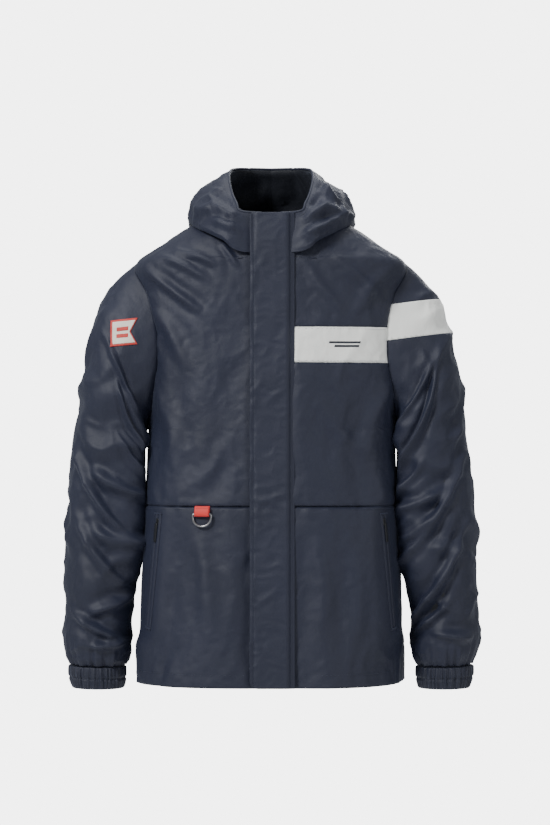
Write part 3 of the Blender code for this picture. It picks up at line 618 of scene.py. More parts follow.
def body_lining():
    """A loose liner a finger's width inside the shell, and the turned-up hem facing below it."""
    back_end = lambda level: 2 * np.pi - armhole_angle(level, True)
    for name, start, end, columns, nodes, top in (
            ("liner_front_left", lambda v: float(angle_at_x(0.022, v)), side_edge(1, False), 40,
             ["lining_front_left"], 0.024),
            ("liner_front_right", side_edge(-1, False), lambda v: float(angle_at_x(-0.022, v)), 40,
             ["lining_front_right"], 0.024),
            ("liner_back", side_edge(1, True), back_end, 90, ["lining_back"], 0.024)):
        grid = body_grid(levels_between(HEM_Z + 0.022, top, 0.006), start, end, columns, LINER_DEPTH,
                         LINER_FOLDS)
        slack = 0.0012 * waves(grid, 51, 0.09, 0.04, stretch=(1.5, 1.5, 0.6))
        grid = grid + grid_normals(grid) * slack[..., None]
        obj = cloth_object(name, grid, LINING, 0.0008)
        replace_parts(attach(obj, "shell"), *nodes)
    for side, word in ((1, "left"), (-1, "right")):
        start, end = (front_edge(side), side_edge(side, False))[::side]
        hem_facing(word, start, end, 74)
    hem_facing("back", side_edge(1, True), back_end, 170)


def hem_facing(word, start, end, columns):
    """The turned-up edge of the cloth, just inside the hem."""
    levels = levels_between(HEM_Z + 0.0006, HEM_Z + HEM_TURN)
    grid = body_grid(levels, start, end, columns, FACING_DEPTH)
    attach(cloth_object(f"hem_facing_{word}", grid, SHELL, 0.0010), "shell")


def pocket_bags():
    for side, word in ((1, "left"), (-1, "right")):
        rim, back = lambda v: float(angle_at_x(side * 0.070, -0.5)), lambda v: side * 1.36
        start, end = (rim, back)[::side]
        grid = body_grid(levels_between(-0.645, -0.432, 0.005), start, end, 40, POCKET_BAG_DEPTH)
        bag = cloth_object(f"pocket_bag_{word}_cloth", grid, LINING, 0.0009)
        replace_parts(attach(bag, "shell"), f"pocket_bag_{word}")


def body_stitching():
    def row(name, xs, zs, finish=THREAD):
        line, normals = surface_line(xs, zs)
        stitches(name, line, normals, finish, "shell")

    for side, word in ((1, "left"), (-1, "right")):
        xs = side * np.linspace(0.018, 0.193, 160)
        row(f"hem_stitch_{word}", xs, np.full(160, HEM_Z + 0.019))
        row(f"waist_stitch_{word}", side * np.linspace(0.018, 0.186, 160), np.full(160, WAIST_Z - 0.004))
        zs = np.linspace(HEM_Z + 0.004, -0.048, 220)
        row(f"zip_edge_stitch_{word}", np.full(220, side * (ZIP_EDGE + 0.0035)), zs)
    for z, name in ((CHEST_STRIPE[0] + 0.0028, "low"), (CHEST_STRIPE[1] - 0.0028, "high")):
        row(f"chest_band_stitch_{name}", np.linspace(0.034, 0.168, 120), np.full(120, z), WHITE_THREAD)
    angles = np.linspace(np.pi / 2 + 0.05, 3 * np.pi / 2 - 0.05, 300)
    for z, name in ((HEM_Z + 0.019, "hem"), (WAIST_Z - 0.004, "waist")):
        levels = np.full(300, z)
        flat, normals = body(angles, levels), body_normal(angles, levels)
        stitches(f"back_{name}_stitch", flat + normals * body_lift(flat)[:, None], normals, THREAD, "shell")


# ---------------------------------------------------------------- sleeves

def sleeve_surface(stations, share, turn):
    keyed = np.column_stack([np.linspace(0, 1, len(stations)), stations])
    ox, oz, ix, iz, half_depth, centre_y = np.moveaxis(hermite(keyed, share), -1, 0)
    c, s = np.cos(turn), np.sin(turn)
    return np.stack([(ox + ix) / 2 + (ox - ix) / 2 * c, centre_y - half_depth * s,
                     (oz + iz) / 2 + (oz - iz) / 2 * c], -1)


def armhole_point(turn):
    level = ARMHOLE_MIDDLE + ARMHOLE_HALF * np.cos(turn)
    y = -ARMHOLE_HALF_DEPTH * np.sin(turn)
    row = hermite(BODY, level)
    depth = np.where(y < 0, -front_depth(level), row[..., 4])
    x = row[..., 3] * (1 - (np.abs(y) / depth) ** SQUARENESS) ** (1 / SQUARENESS)
    return np.stack([x + 0.0004, y, level], -1)


# Folds of each sleeve, as (share down the sleeve, turn in degrees, length in metres, slope, width, height).
# The turn is 0 at the outside, 90 at the front, 180 at the body.
SLEEVE_FOLDS = {
    1: [(0.36, 128, 0.120, 0.55, 0.0100, 0.0075), (0.46, 150, 0.080, 0.30, 0.0080, 0.0050),
        (0.53, 120, 0.090, -0.40, 0.0085, 0.0058), (0.585, 95, 0.110, 0.35, 0.0090, 0.0062),
        (0.64, 130, 0.085, 0.55, 0.0080, 0.0055), (0.69, 75, 0.080, -0.45, 0.0085, 0.0045),
        (0.76, 110, 0.120, 0.75, 0.0100, 0.0075), (0.84, 125, 0.080, 0.45, 0.0080, 0.0055),
        (0.90, 80, 0.070, -0.25, 0.0070, 0.0045), (0.22, 100, 0.080, -0.80, 0.0100, 0.0035),
        (0.50, 250, 0.110, 0.30, 0.0100, 0.0060), (0.60, 275, 0.100, -0.35, 0.0100, 0.0055),
        (0.72, 255, 0.110, 0.45, 0.0100, 0.0060), (0.85, 280, 0.080, -0.30, 0.0090, 0.0045),
        (0.45, 20, 0.090, 0.60, 0.0100, 0.0035), (0.68, 10, 0.090, -0.50, 0.0100, 0.0035)],
    -1: [(0.30, 140, 0.090, 0.60, 0.0090, 0.0060), (0.40, 150, 0.080, 0.35, 0.0080, 0.0050),
         (0.50, 110, 0.100, -0.45, 0.0090, 0.0055), (0.575, 80, 0.110, 0.40, 0.0090, 0.0062),
         (0.63, 120, 0.090, -0.30, 0.0080, 0.0050), (0.70, 95, 0.095, 0.50, 0.0090, 0.0055),
         (0.79, 120, 0.090, -0.55, 0.0095, 0.0055), (0.875, 90, 0.085, 0.30, 0.0080, 0.0062),
         (0.925, 110, 0.060, -0.20, 0.0065, 0.0045), (0.20, 85, 0.080, -0.70, 0.0100, 0.0035),
         (0.48, 265, 0.110, -0.30, 0.0100, 0.0060), (0.61, 250, 0.100, 0.40, 0.0100, 0.0055),
         (0.74, 280, 0.100, -0.45, 0.0100, 0.0055), (0.86, 260, 0.080, 0.30, 0.0090, 0.0045),
         (0.42, 15, 0.090, -0.60, 0.0100, 0.0035), (0.66, 350, 0.090, 0.50, 0.0100, 0.0035)],
}
SLEEVE_LENGTH = 0.56
SLEEVE_ROUND = 0.062  # mean radius, which turns an angle into a length


def sleeve_lift(points, share, turn, side):
    seed = 40 if side > 0 else 60
    free = smooth(share, 0.02, 0.16) * (1 - 0.6 * smooth(share, 0.93, 1.0))
    lift = 0.0034 * free * creases(points, seed, 0.14, 0.07, stretch=(1, 1, 1.2))
    lift += 0.0012 * free * creases(points, seed + 2, 0.055, 0.028, stretch=(1, 1, 1.3))
    lift += 0.0002 * creases(points, seed + 3, 0.022, 0.011)
    for at, degrees, length, slope, width, height in SLEEVE_FOLDS[side]:
        around = ((turn - np.radians(degrees) + np.pi) % (2 * np.pi) - np.pi) * SLEEVE_ROUND
        down = (share - at) * SLEEVE_LENGTH + 0.10 * (around / length) ** 2 * length
        across = down - slope * around
        taper = np.exp(-(around / (0.5 * length)) ** 4)
        lift += 1.3 * height * taper * (np.exp(-(across / width) ** 2)
                                  - 0.5 * np.exp(-((np.abs(across) - 1.8 * width) / (1.3 * width)) ** 2))
    # The hanging sleeve leans on the body with its inner front.
    lean = np.radians(146)
    lift += 0.027 * np.exp(-((turn - lean) / 0.56) ** 2) * smooth(share, 0.05,
                                                                  0.22) * (1 - smooth(share, 0.60, 0.80))
    # Gathers run up from the elastic, under a small blouse of spare cloth.
    near = smooth(share, 0.86, 1.0)
    gathers = (np.sin(turn * 19 + 2.0 * np.sin(turn * 3 + seed)) + 0.6 * np.sin(turn * 31 + seed)
               + 0.8 * np.sin(turn * 11 + 1.3 * seed))
    lift += 0.0014 * near ** 1.5 * gathers
    blouse = np.exp(-((share - 0.925) / 0.045) ** 2)
    lift += blouse * (0.0050 + 0.0020 * np.sin(turn * 5 + seed))
    lift -= 0.0030 * smooth(share, 0.975, 1.0)
    # The shoulder seam draws the cloth in, and small puckers stand across it.
    lift += 0.0008 * np.sin(turn * 26 + 2 * np.sin(turn * 4)) * np.exp(-(share / 0.03) ** 2)
    return lift * (smooth(share, 0.0, 0.035) * 0.9 + 0.1 * (share > 0))


def sleeve_grid(side, rows=190, cols=132, depth=0.0, folds=1.0, last=1.0):
    share, turn = np.meshgrid(np.linspace(0, last, rows), np.linspace(0, 2 * np.pi, cols, endpoint=False),
                              indexing="ij")
    flat = sleeve_surface(SLEEVE, share, turn)
    start = smooth(share, 0, 0.14)[..., None]
    head = armhole_point(turn[0])[None]
    flat = flat + (head - sleeve_surface(SLEEVE, 0 * share, turn)) * (1 - start)
    looped = np.concatenate([flat[:, -1:], flat, flat[:, :1]], 1)
    normals = grid_normals(looped)[:, 1:-1]
    head_room = flat + normals * (sleeve_lift(flat, share, turn, side) * folds - depth)[..., None]
    # Below the armhole the sleeve only touches the body, and keeps outside the armhole band.
    least = (BEND_TO + 0.0004 - ARMHOLE_WAY[2] * head_room[..., 2]) / ARMHOLE_WAY[0]
    below = smooth(-head_room[..., 2], 0.312, 0.335)
    head_room[..., 0] += below * np.maximum(0, least - head_room[..., 0])
    # The seam allowance goes in under the edge of the body's cloth.
    allowance = head_room[:1] - np.stack([0.0065 + 0 * turn[:1], 0.0025 * np.sign(head_room[:1, :, 1]),
                                          0 * turn[:1]], -1)
    return np.concatenate([allowance, head_room]) * np.array([side, 1, 1])


def tube_object(name, grid, side, finish, thickness=0.0013):
    """A tube of cloth. One column is repeated so that its UV map has a seam and no smear."""
    closed = np.concatenate([grid, grid[:, :1]], 1)
    if side < 0:
        closed = closed[:, ::-1]
    obj = mesh_object(name, closed, grid_faces(*closed.shape[:2]), finish, cloth_uvs(closed))
    work = bmesh.new()
    work.from_mesh(obj.data)
    bmesh.ops.remove_doubles(work, verts=work.verts, dist=1e-6)
    work.to_mesh(obj.data)
    work.free()
    thicken(obj, thickness)
    return obj


STRIPE_SLOPE = 0.13
STRIPE_PLANES = (-0.1615, -0.1085)  # heights of the sleeve band's edges at x = 0.22


def cut_between(obj, low, high):
    """Keeps what lies between two sloping planes."""
    work = bmesh.new()
    work.from_mesh(obj.data)
    for height, clear in ((low, "clear_inner"), (high, "clear_outer")):
        if height is not None:
            bmesh.ops.bisect_plane(work, geom=[*work.verts, *work.edges, *work.faces],
                                   plane_co=(0.22, 0, height), plane_no=(-STRIPE_SLOPE, 0, 1),
                                   **{clear: True})
    work.to_mesh(obj.data)
    work.free()


ARMHOLE_WAY = np.array([0.998, 0, -0.060])  # the direction square to the armhole
BEND_FROM, BEND_TO = 0.2030, 0.2080         # distances along it that bound a narrow band at the armhole


def bend_at_shoulder(obj):
    """Bakes the object's placement into its mesh."""
    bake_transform(obj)


def sleeves():
    for side, word in ((1, "left"), (-1, "right")):
        grid = sleeve_grid(side)
        cuts = [("lower", None, STRIPE_PLANES[0]), ("band", *STRIPE_PLANES), ("cap", STRIPE_PLANES[1], None)]
        nodes = {"lower": "sleeve_left", "band": "sleeve_stripe", "cap": "sleeve_left_cap"}
        for kind, low, high in cuts if side > 0 else [("whole", None, None)]:
            obj = tube_object(f"sleeve_{word}_{kind}_cloth", grid, side,
                              WHITE_CLOTH if kind == "band" else SHELL)
            cut_between(obj, low, high)
            bend_at_shoulder(obj)
            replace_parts(obj, nodes[kind] if side > 0 else "sleeve_right")
        liner = tube_object(f"sleeve_{word}_liner", sleeve_grid(side, 60, 60, 0.0065, 0.3, 0.985), side,
                            LINING, 0.0007)
        bend_at_shoulder(liner)
        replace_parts(liner, f"sleeve_lining_{word}")
        cuff(side, word)


def cuff(side, word):
    """A cloth-covered elastic band, gathered into small upright pleats."""
    seed = 3 if side > 0 else 8
    share, turn = np.meshgrid(np.linspace(0, 1, 22), np.linspace(0, 2 * np.pi, 300, endpoint=False),
                              indexing="ij")
    outer = sleeve_surface(CUFF, share, turn)
    centre = outer.mean(axis=1, keepdims=True)
    out = unit((outer - centre) * np.array([1, 1, 0]))
    pleats = (np.sin(turn * 34 + 2.2 * np.sin(turn * 5 + seed)) + 0.5 * np.sin(turn * 57 + seed + 3 * share)
              + 0.5 * np.sin(turn * 21 + 2 * seed - 2 * share))
    crown = np.sin(np.pi * np.clip(share, 0.0, 1.0)) ** 0.5
    lift = 0.0011 * pleats * (0.45 + 0.55 * crown) + 0.0012 * crown
    lift -= 0.0016 * np.exp(-((share - 0.5) / 0.05) ** 2)
    grid = outer + out * lift[..., None]
    inner = (outer - out * (0.0032 - 0.4 * lift[..., None]))[::-1]
    whole = np.concatenate([grid, inner]) * np.array([side, 1, 1])
    obj = tube_object(f"cuff_{word}_cloth", whole, side, CUFF_CLOTH, 0.0008)
    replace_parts(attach(obj, f"sleeve_{word}"), f"cuff_{word}", f"cuff_elastic_{word}")
    line = (outer + out * lift[..., None])[11] * np.array([side, 1, 1])
    stitches(f"cuff_stitch_{word}", line, out[11] * np.array([side, 1, 1]), THREAD, f"sleeve_{word}",
             pitch=0.003)


BADGE_PLACE, BADGE_SIZE = (-0.2165, -0.156), (0.040, 0.039)


def sleeve_badge():
    """A cream pennant with a red edge and two red bars, sewn on the front of the right sleeve."""
    grid = sleeve_grid(-1)
    rows, cols = grid.shape[:2]
    tree = BVHTree.FromPolygons(grid.reshape(-1, 3).tolist(), grid_faces(rows, cols, True))

    def on_sleeve(a, b, lift):
        """a goes across the patch and b up it, each from -0.5 to 0.5."""
        x = BADGE_PLACE[0] + a * BADGE_SIZE[0]
        z = BADGE_PLACE[1] + b * BADGE_SIZE[1] + 0.10 * a * BADGE_SIZE[0]
        spot, normal = tree.ray_cast(Vector((x, -0.4, z)), Vector((0, 1, 0)))[:2]
        return np.array(spot) + unit(np.array(normal) * (1 if normal.y < 0 else -1)) * lift

    def pennant(grow, cells=26):
        """Rows across a swallow-tailed flag, smaller as grow gets less than one."""
        across = np.linspace(0, 1, cells)
        up = np.linspace(-1, 1, cells)
        tail = 1 - 0.26 * (1 - np.abs(up))
        a = -0.5 * grow + grow * across[:, None] * tail[None]
        b = np.repeat(up[None] * 0.5 * grow, cells, 0)
        return a, b

    def bar(low, high, cells=26):
        a = np.repeat(np.linspace(-0.26, 0.16, cells)[:, None], 6, 1)
        return a, np.repeat(np.linspace(low, high, 6)[None], cells, 0)

    for name, (a, b), lift, finish in (("badge_edge", pennant(1.0), 0.0010, BADGE_RED),
                                       ("badge_field", pennant(0.84), 0.0016, BADGE_CREAM),
                                       ("badge_bar_upper", bar(0.06, 0.20), 0.0021, BADGE_RED),
                                       ("badge_bar_lower", bar(-0.20, -0.06), 0.0021, BADGE_RED)):
        points = np.array([[on_sleeve(p, q, lift) for p, q in zip(ps, qs)] for ps, qs in zip(a, b)])
        obj = cloth_object(name, points.transpose(1, 0, 2), finish, 0.0009)
        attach(obj, "sleeve_right")
        if name == "badge_field":
            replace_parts(obj, "sleeve_badge")


# ---------------------------------------------------------------- hood and collar

def through(start, middle, end, count):
    shares = np.linspace(0, 1, count)[:, None]
    control = 2 * middle - (start + end) / 2
    return (1 - shares) ** 2 * start + 2 * shares * (1 - shares) * control + shares ** 2 * end


def hood_row(angle):
    turn = angle if angle <= 180 else 360 - angle
    row = hermite(HOOD, turn)
    mirror = np.array([1 if angle <= 180 else -1, 1, 1])
    return row[0:3] * mirror, row[3:6] * mirror, row[6:9] * mirror, row[9]


def hood_lift(points, seed=70):
    """Soft folds that run round the lowered hood, and a few that run up to its rim."""
    lift = 0.0045 * creases(points, seed, 0.12, 0.06, stretch=(0.7, 0.7, 1.5))
    lift += 0.0020 * creases(points, seed + 1, 0.05, 0.025)
    lift += 0.0004 * creases(points, seed + 2, 0.018, 0.010)
    for line, width, height in (
            (((-0.050, 0.010), (-0.085, 0.030), (-0.108, 0.022)), 0.0070, 0.0050),
            (((-0.040, -0.012), (-0.062, -0.002), (-0.090, 0.012)), 0.0055, 0.0045),
            (((0.044, 0.004), (0.078, 0.026), (0.108, 0.026)), 0.0070, 0.0048),
            (((0.036, -0.020), (0.064, -0.008), (0.094, 0.010)), 0.0055, 0.0042),
            (((-0.058, 0.052), (-0.082, 0.052), (-0.100, 0.036)), 0.0060, 0.0040),
            (((0.056, 0.050), (0.080, 0.056), (0.100, 0.040)), 0.0060, 0.0040)):
        lift += stroke(points, line, width, height, side=1)
    return lift


def hood_outer(angles, count):
    return np.array([through(*hood_row(a)[:3], count) for a in angles])


def hood_pieces():
    angles = np.concatenate([np.linspace(6, 14, 6)[:-1], np.linspace(14, 346, 230),
                             np.linspace(346, 354, 6)[1:]])
    smooth_grid = hood_outer(angles, 56)
    normals = grid_normals(smooth_grid)
    share = np.linspace(0, 1, 56)[None]
    front = smooth(np.minimum(angles, 360 - angles), 8, 40)[:, None]
    free = smooth(share, 0.02, 0.25) * (1 - 0.5 * smooth(share, 0.85, 1.0)) * front
    lift = hood_lift(smooth_grid) * free
    lift += 0.0040 * np.sin(np.pi * share) * front  # spare cloth stands out between rim and foot
    lift -= 0.0032 * smooth(share, 0.90, 1.0) * front  # and turns in at the foot
    for seam in (HOOD_SIDE_SEAM, 360 - HOOD_SIDE_SEAM):
        lift -= 0.0012 * np.exp(-((angles - seam) / 0.9) ** 2)[:, None]
    outer = smooth_grid + normals * lift[..., None]
    obj = cloth_object("hood_and_collar_cloth", outer, SHELL, 0.0013)
    bend_at_collar(obj)
    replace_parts(obj, "collar_left", "collar_right", "hood_left_panel", "hood_centre_panel",
                "hood_right_panel")

    # The lining goes down inside from the rim to the foot, and comes back to the neck seam.
    lining = []
    for i, a in enumerate(angles):
        rim, crest, foot, fold = hood_row(a)
        turn = np.radians(a)
        seam = body(turn, NECK_LEVEL - 0.004) * np.array([0.95, 0.95, 1]) + np.array([0, 0, 0.004])
        down = (outer[i] - normals[i] * (0.0035 + 0.004 * smooth(share[0], 0.0, 0.3))[:, None])[:46:3]
        last = down[-1]
        back = through(last, (last + seam) / 2 + np.array([0, 0, -0.002]), seam, 12)[1:]
        lining.append(np.concatenate([down, back]))
    lining = np.array(lining)
    obj = cloth_object("hood_lining_cloth", lining, LINING, 0.0008)
    bend_at_collar(obj)
    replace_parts(obj, "hood_lining")

    # The under layer joins the foot to the neck seam behind the neck.
    under_angles = np.linspace(78, 282, 120)
    under = []
    for a in under_angles:
        rim, crest, foot, fold = hood_row(a)
        i = np.argmin(np.abs(angles - a))
        edge = outer[i, -1]
        inward = unit(np.array([-foot[0], -foot[1], 0]))
        below = edge + inward * (0.002 + fold / 2) + np.array([0, 0, -fold / 3 - 0.001])
        beneath = edge + inward * (0.003 + fold)
        seam = body(np.radians(a), NECK_LEVEL) * np.array([1.02, 1.02, 1]) + np.array([0, 0, 0.003])
        rise = through(beneath, (beneath + seam) / 2 + np.array([0, 0.006, 0.006]), seam, 16)
        under.append(np.concatenate([[edge], [below], rise]))
    obj = cloth_object("hood_under_cloth", np.array(under), SHELL, 0.0010)
    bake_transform(obj)

    # A folded edge runs round the rim, with one row of stitching below it.
    rim = outer[:, 0] - normals[:, 0] * 0.0008
    turns = np.linspace(0, 2 * np.pi, 10, endpoint=False)
    profile = [(0.0019 * np.cos(t), 0.0019 * np.sin(t)) for t in turns]
    bead = swept("hood_rim_cloth", rim, normals[:, 0], profile, SHELL)
    bend_at_collar(bead)
    stitch = stitches("hood_rim_stitch", outer[:, 6], normals[:, 6], THREAD, None)
    bend_at_collar(stitch)
    for seam in (HOOD_SIDE_SEAM, 360 - HOOD_SIDE_SEAM):
        i = np.argmin(np.abs(angles - seam - 2.2))
        row = stitches(f"hood_side_stitch_{seam}", outer[i, 3:], normals[i, 3:], THREAD, "hood")


def bend_at_collar(obj):
    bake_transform(obj)


# ---------------------------------------------------------------- front closure

def closure(x, lift, z):
    """Points in front of the straight closure line."""
    x, lift, z = np.broadcast_arrays(np.asarray(x, float), np.asarray(lift, float), np.asarray(z, float))
    return np.stack([x, front_depth(z) - lift / TILT, z + lift * FRONT_LEAN / TILT], -1)


CLOSURE_OUT = closure(0, 1, 0) - closure(0, 0, 0)
FLAP_SEAM, FLAP_FREE = 0.0345, -0.0305


def flap_lift(x, z):
    across = (FLAP_SEAM - x) / (FLAP_SEAM - FLAP_FREE)
    points = np.stack([x, 0 * x, z], -1)
    lift = 0.0022 + 0.0068 * smooth(across, 0.0, 0.20)
    lift += 0.0007 * waves(points, 90, 0.16, 0.06, stretch=(0.6, 1, 1)) * smooth(across, 0.1, 0.5)
    lift += 0.0006 * creases(points, 91, 0.05, 0.02, stretch=(0.8, 1, 1.4)) * smooth(across, 0.05, 0.3)
    lift += 0.0011 * np.exp(-((across - 0.93) / 0.05) ** 2) * waves(points, 93, 0.12, 0.05,
                                                                    stretch=(0, 1, 1))
    for stud in STUD_HEIGHTS:
        far = np.hypot(x - STUD_X, z - stud)
        lift += 0.0006 * np.exp(-(far / 0.0062) ** 4)
        lift += 0.0005 * np.exp(-((far - 0.014) / 0.006) ** 2) * np.sin(5 * np.arctan2(z - stud, x
                                                                                       - STUD_X) + 40 * stud)
    for start, end, height in (((0.026, -0.392), (-0.018, -0.404), 0.0016),
                               ((0.020, -0.412), (-0.026, -0.398), 0.0012),
                               ((0.024, -0.236), (-0.010, -0.262), 0.0010),
                               ((0.012, -0.530), (-0.026, -0.556), 0.0012)):
        lift += stroke(points, (start, end), 0.0050, height)
    lift -= 0.0007 * np.exp(-((x - 0.0285) / 0.0010) ** 2)
    lift -= 0.0006 * np.exp(-((x - FLAP_FREE - 0.0055) / 0.0011) ** 2)
    return np.maximum(lift, 0.0020)


def storm_flap():
    xs = np.concatenate([np.linspace(FLAP_SEAM, 0.024, 16)[:-1], np.linspace(0.024, FLAP_FREE, 48)])
    rows = 330
    radius = 0.012
    foot = HEM_Z + np.where(xs < FLAP_FREE + radius, radius
                            - np.sqrt(np.maximum(0, radius ** 2 - (FLAP_FREE + radius - xs) ** 2)), 0)
    head = COLLAR_TOP_Z - np.where(xs < FLAP_FREE + 0.006, 0.006
                                   - np.sqrt(np.maximum(0, 0.006 ** 2 - (FLAP_FREE + 0.006 - xs) ** 2)), 0)
    t = np.linspace(0, 1, rows)[:, None]
    z = foot[None] + (head - foot)[None] * t
    x = np.repeat(xs[None], rows, 0)
    grid = closure(x, flap_lift(x, z), z)
    obj = cloth_object("storm_flap_cloth", grid[:, ::-1], SHELL, 0.0018)
    bend_at_flap(obj)
    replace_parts(obj, "storm_flap")
    for name, at, low in (("seam", 0.0285, 0.002), ("free", FLAP_FREE + 0.0055, 0.004)):
        zs = np.linspace(HEM_Z + low, COLLAR_TOP_Z - 0.003, 260)
        line = closure(at, flap_lift(np.full(260, at), zs) + 0.0002, zs)
        row = stitches(f"flap_{name}_stitch", line, np.repeat(CLOSURE_OUT[None], 260, 0), THREAD, None)
        bend_at_flap(row)


def bend_at_flap(obj):
    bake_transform(obj)


def teeth():
    """Two rows of moulded teeth, which mesh along the centre line."""
    pitch, half_length = 0.0030, 0.00095
    count = int((CHAIN_TOP - CHAIN_FOOT) / pitch)
    for side, word in ((1, "left"), (-1, "right")):
        verts, faces = [], []
        for i in range(count):
            z = CHAIN_FOOT + 0.0012 + pitch * (i + (0.5 if side > 0 else 0.0))
            if z > CHAIN_TOP - 0.0010:
                continue
            base = len(verts)
            for lift in (-0.0025, 0.0002):
                shrink = 0.82 if lift > 0 else 1.0
                for x, wide in ((0.0032, 1.0), (0.0012, 0.62), (0.0002, 0.92), (-0.0006, 0.70)):
                    for end in (-1, 1):
                        verts.append(closure(side * x, lift, z + end * half_length * wide * shrink))
            for k in range(3):
                a = base + 2 * k
                faces += [(a, a + 1, a + 3, a + 2), (a + 8, a + 10, a + 11, a + 9),
                          (a, a + 2, a + 10, a + 8), (a + 1, a + 9, a + 11, a + 3)]
            faces += [(base, base + 8, base + 9, base + 1), (base + 6, base + 7, base + 15, base + 14)]
        obj = mesh_object(f"teeth_{word}", verts, faces, PLASTIC, np.array(verts)[:, [0, 2]])
        recalculate(obj)
        obj.data.shade_flat()
        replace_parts(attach(obj, "shell"), f"zip_teeth_{word}")


def rounded(name, outline, place, thickness, finish, bevel=0.0005):
    """A plate from an outline of (a, b) points, placed by place(a, b, height), with rounded edges."""
    outline = np.asarray(outline, float)
    work = bmesh.new()
    low = [work.verts.new((a, b, 0)) for a, b in outline]
    base = work.faces.new(low)
    grown = bmesh.ops.extrude_face_region(work, geom=[base])
    bmesh.ops.translate(work, vec=(0, 0, thickness),
                        verts=[v for v in grown["geom"] if isinstance(v, bmesh.types.BMVert)])
    bmesh.ops.recalc_face_normals(work, faces=work.faces)
    bmesh.ops.bevel(work, geom=[e for e in work.edges if e.calc_face_angle(0) > 0.9], offset=bevel,
                    segments=3,
                    affect="EDGES", profile=0.5)
    mesh = bpy.data.meshes.new(name)
    for vert in work.verts:
        vert.co = Vector(place(*vert.co))
    bmesh.ops.recalc_face_normals(work, faces=work.faces)
    work.to_mesh(mesh)
    work.free()
    mesh.materials.append(finish)
    mesh.shade_smooth()
    obj = bpy.data.objects.new(name, mesh)
    bpy.context.scene.collection.objects.link(obj)
    return obj


def rounded_box(width, low, high, corner, segments=5):
    """Corner points of a rounded rectangle: a across, b along."""
    points = []
    for sx, sy, start in ((1, 1, 0), (-1, 1, 90), (-1, -1, 180), (1, -1, 270)):
        for t in np.radians(np.linspace(start, start + 90, segments)):
            points.append((sx * (width / 2 - corner) + corner * np.cos(t),
                           (high - corner if sy > 0 else low + corner) + corner * np.sin(t)))
    return points


def front_zip():
    for side, word in ((1, "left"), (-1, "right")):
        zs = np.linspace(HEM_Z + 0.004, COLLAR_TOP_Z - 0.003, 120)
        xs = side * np.linspace(0.0016, 0.0165, 12)
        x, z = np.meshgrid(xs, zs)
        grid = closure(x, -0.0012 + 0.0002 * np.sin(x * 2400), z)
        obj = cloth_object(f"zip_tape_{word}_cloth", grid if side > 0 else grid[:, ::-1], TAPE, 0.0008)
        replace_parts(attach(obj, "shell"), f"zip_tape_{word}")
    teeth()
    at = lambda a, b, c: closure(a, 0.0006 + c, SLIDER_FOOT + b)
    shape = [(-0.0042, 0.0), (-0.0030, -0.0004), (0.0030, -0.0004), (0.0042, 0.0), (0.0046, 0.0080),
             (0.0030, 0.0116),
             (0.0010, 0.0122), (-0.0010, 0.0122), (-0.0030, 0.0116), (-0.0046, 0.0080)]
    slider = rounded("front_slider", shape, at, 0.0020, PLASTIC)
    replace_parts(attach(slider, "zip_slider"), "zip_slider")
    bridge = rounded("front_slider_bridge", rounded_box(0.0022, 0.0015, 0.0105, 0.0010),
                     lambda a, b, c: closure(a, 0.0024 + c, SLIDER_FOOT + b), 0.0011, PLASTIC, 0.0003)
    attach(bridge, "zip_slider")
    tab = rounded("front_pull_tab", rounded_box(0.0058, -0.0240, 0.0095, 0.0022),
                  lambda a, b, c: closure(a, 0.0031 + c, SLIDER_FOOT + b), 0.0014, PLASTIC)
    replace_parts(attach(tab, "zip_slider"), "zip_pull_tab")
    for i in range(5):
        rib = rounded(f"front_pull_rib_{i + 1}", rounded_box(0.0036, -0.0008, 0.0, 0.00035),
                      lambda a, b, c, i=i: closure(a, 0.0043 + c, SLIDER_FOOT - 0.0205 + 0.0020 * i + b),
                      0.0004,
                      PLASTIC, 0.0001)
        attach(rib, "zip_slider")


# ---------------------------------------------------------------- pockets and ring

class PocketFrame:
    """The straight line of a hand pocket's zip, as in the CAD source."""

    def __init__(self, side):
        ends = [body(angle_at_x(side * x, z), z) for x, z in (POCKET_TOP, POCKET_FOOT)]
        self.top = ends[0]
        self.length = np.linalg.norm(ends[1] - ends[0])
        self.along = (ends[1] - ends[0]) / self.length
        middle = (POCKET_TOP[1] + POCKET_FOOT[1]) / 2
        raw = body_normal(angle_at_x(side * (POCKET_TOP[0] + POCKET_FOOT[0]) / 2, middle), middle)
        self.out = unit(raw - self.along * raw.dot(self.along))
        self.across = np.cross(self.along, self.out)

    def at(self, along, across, out):
        return self.top + self.along * along + self.across * across + self.out * out


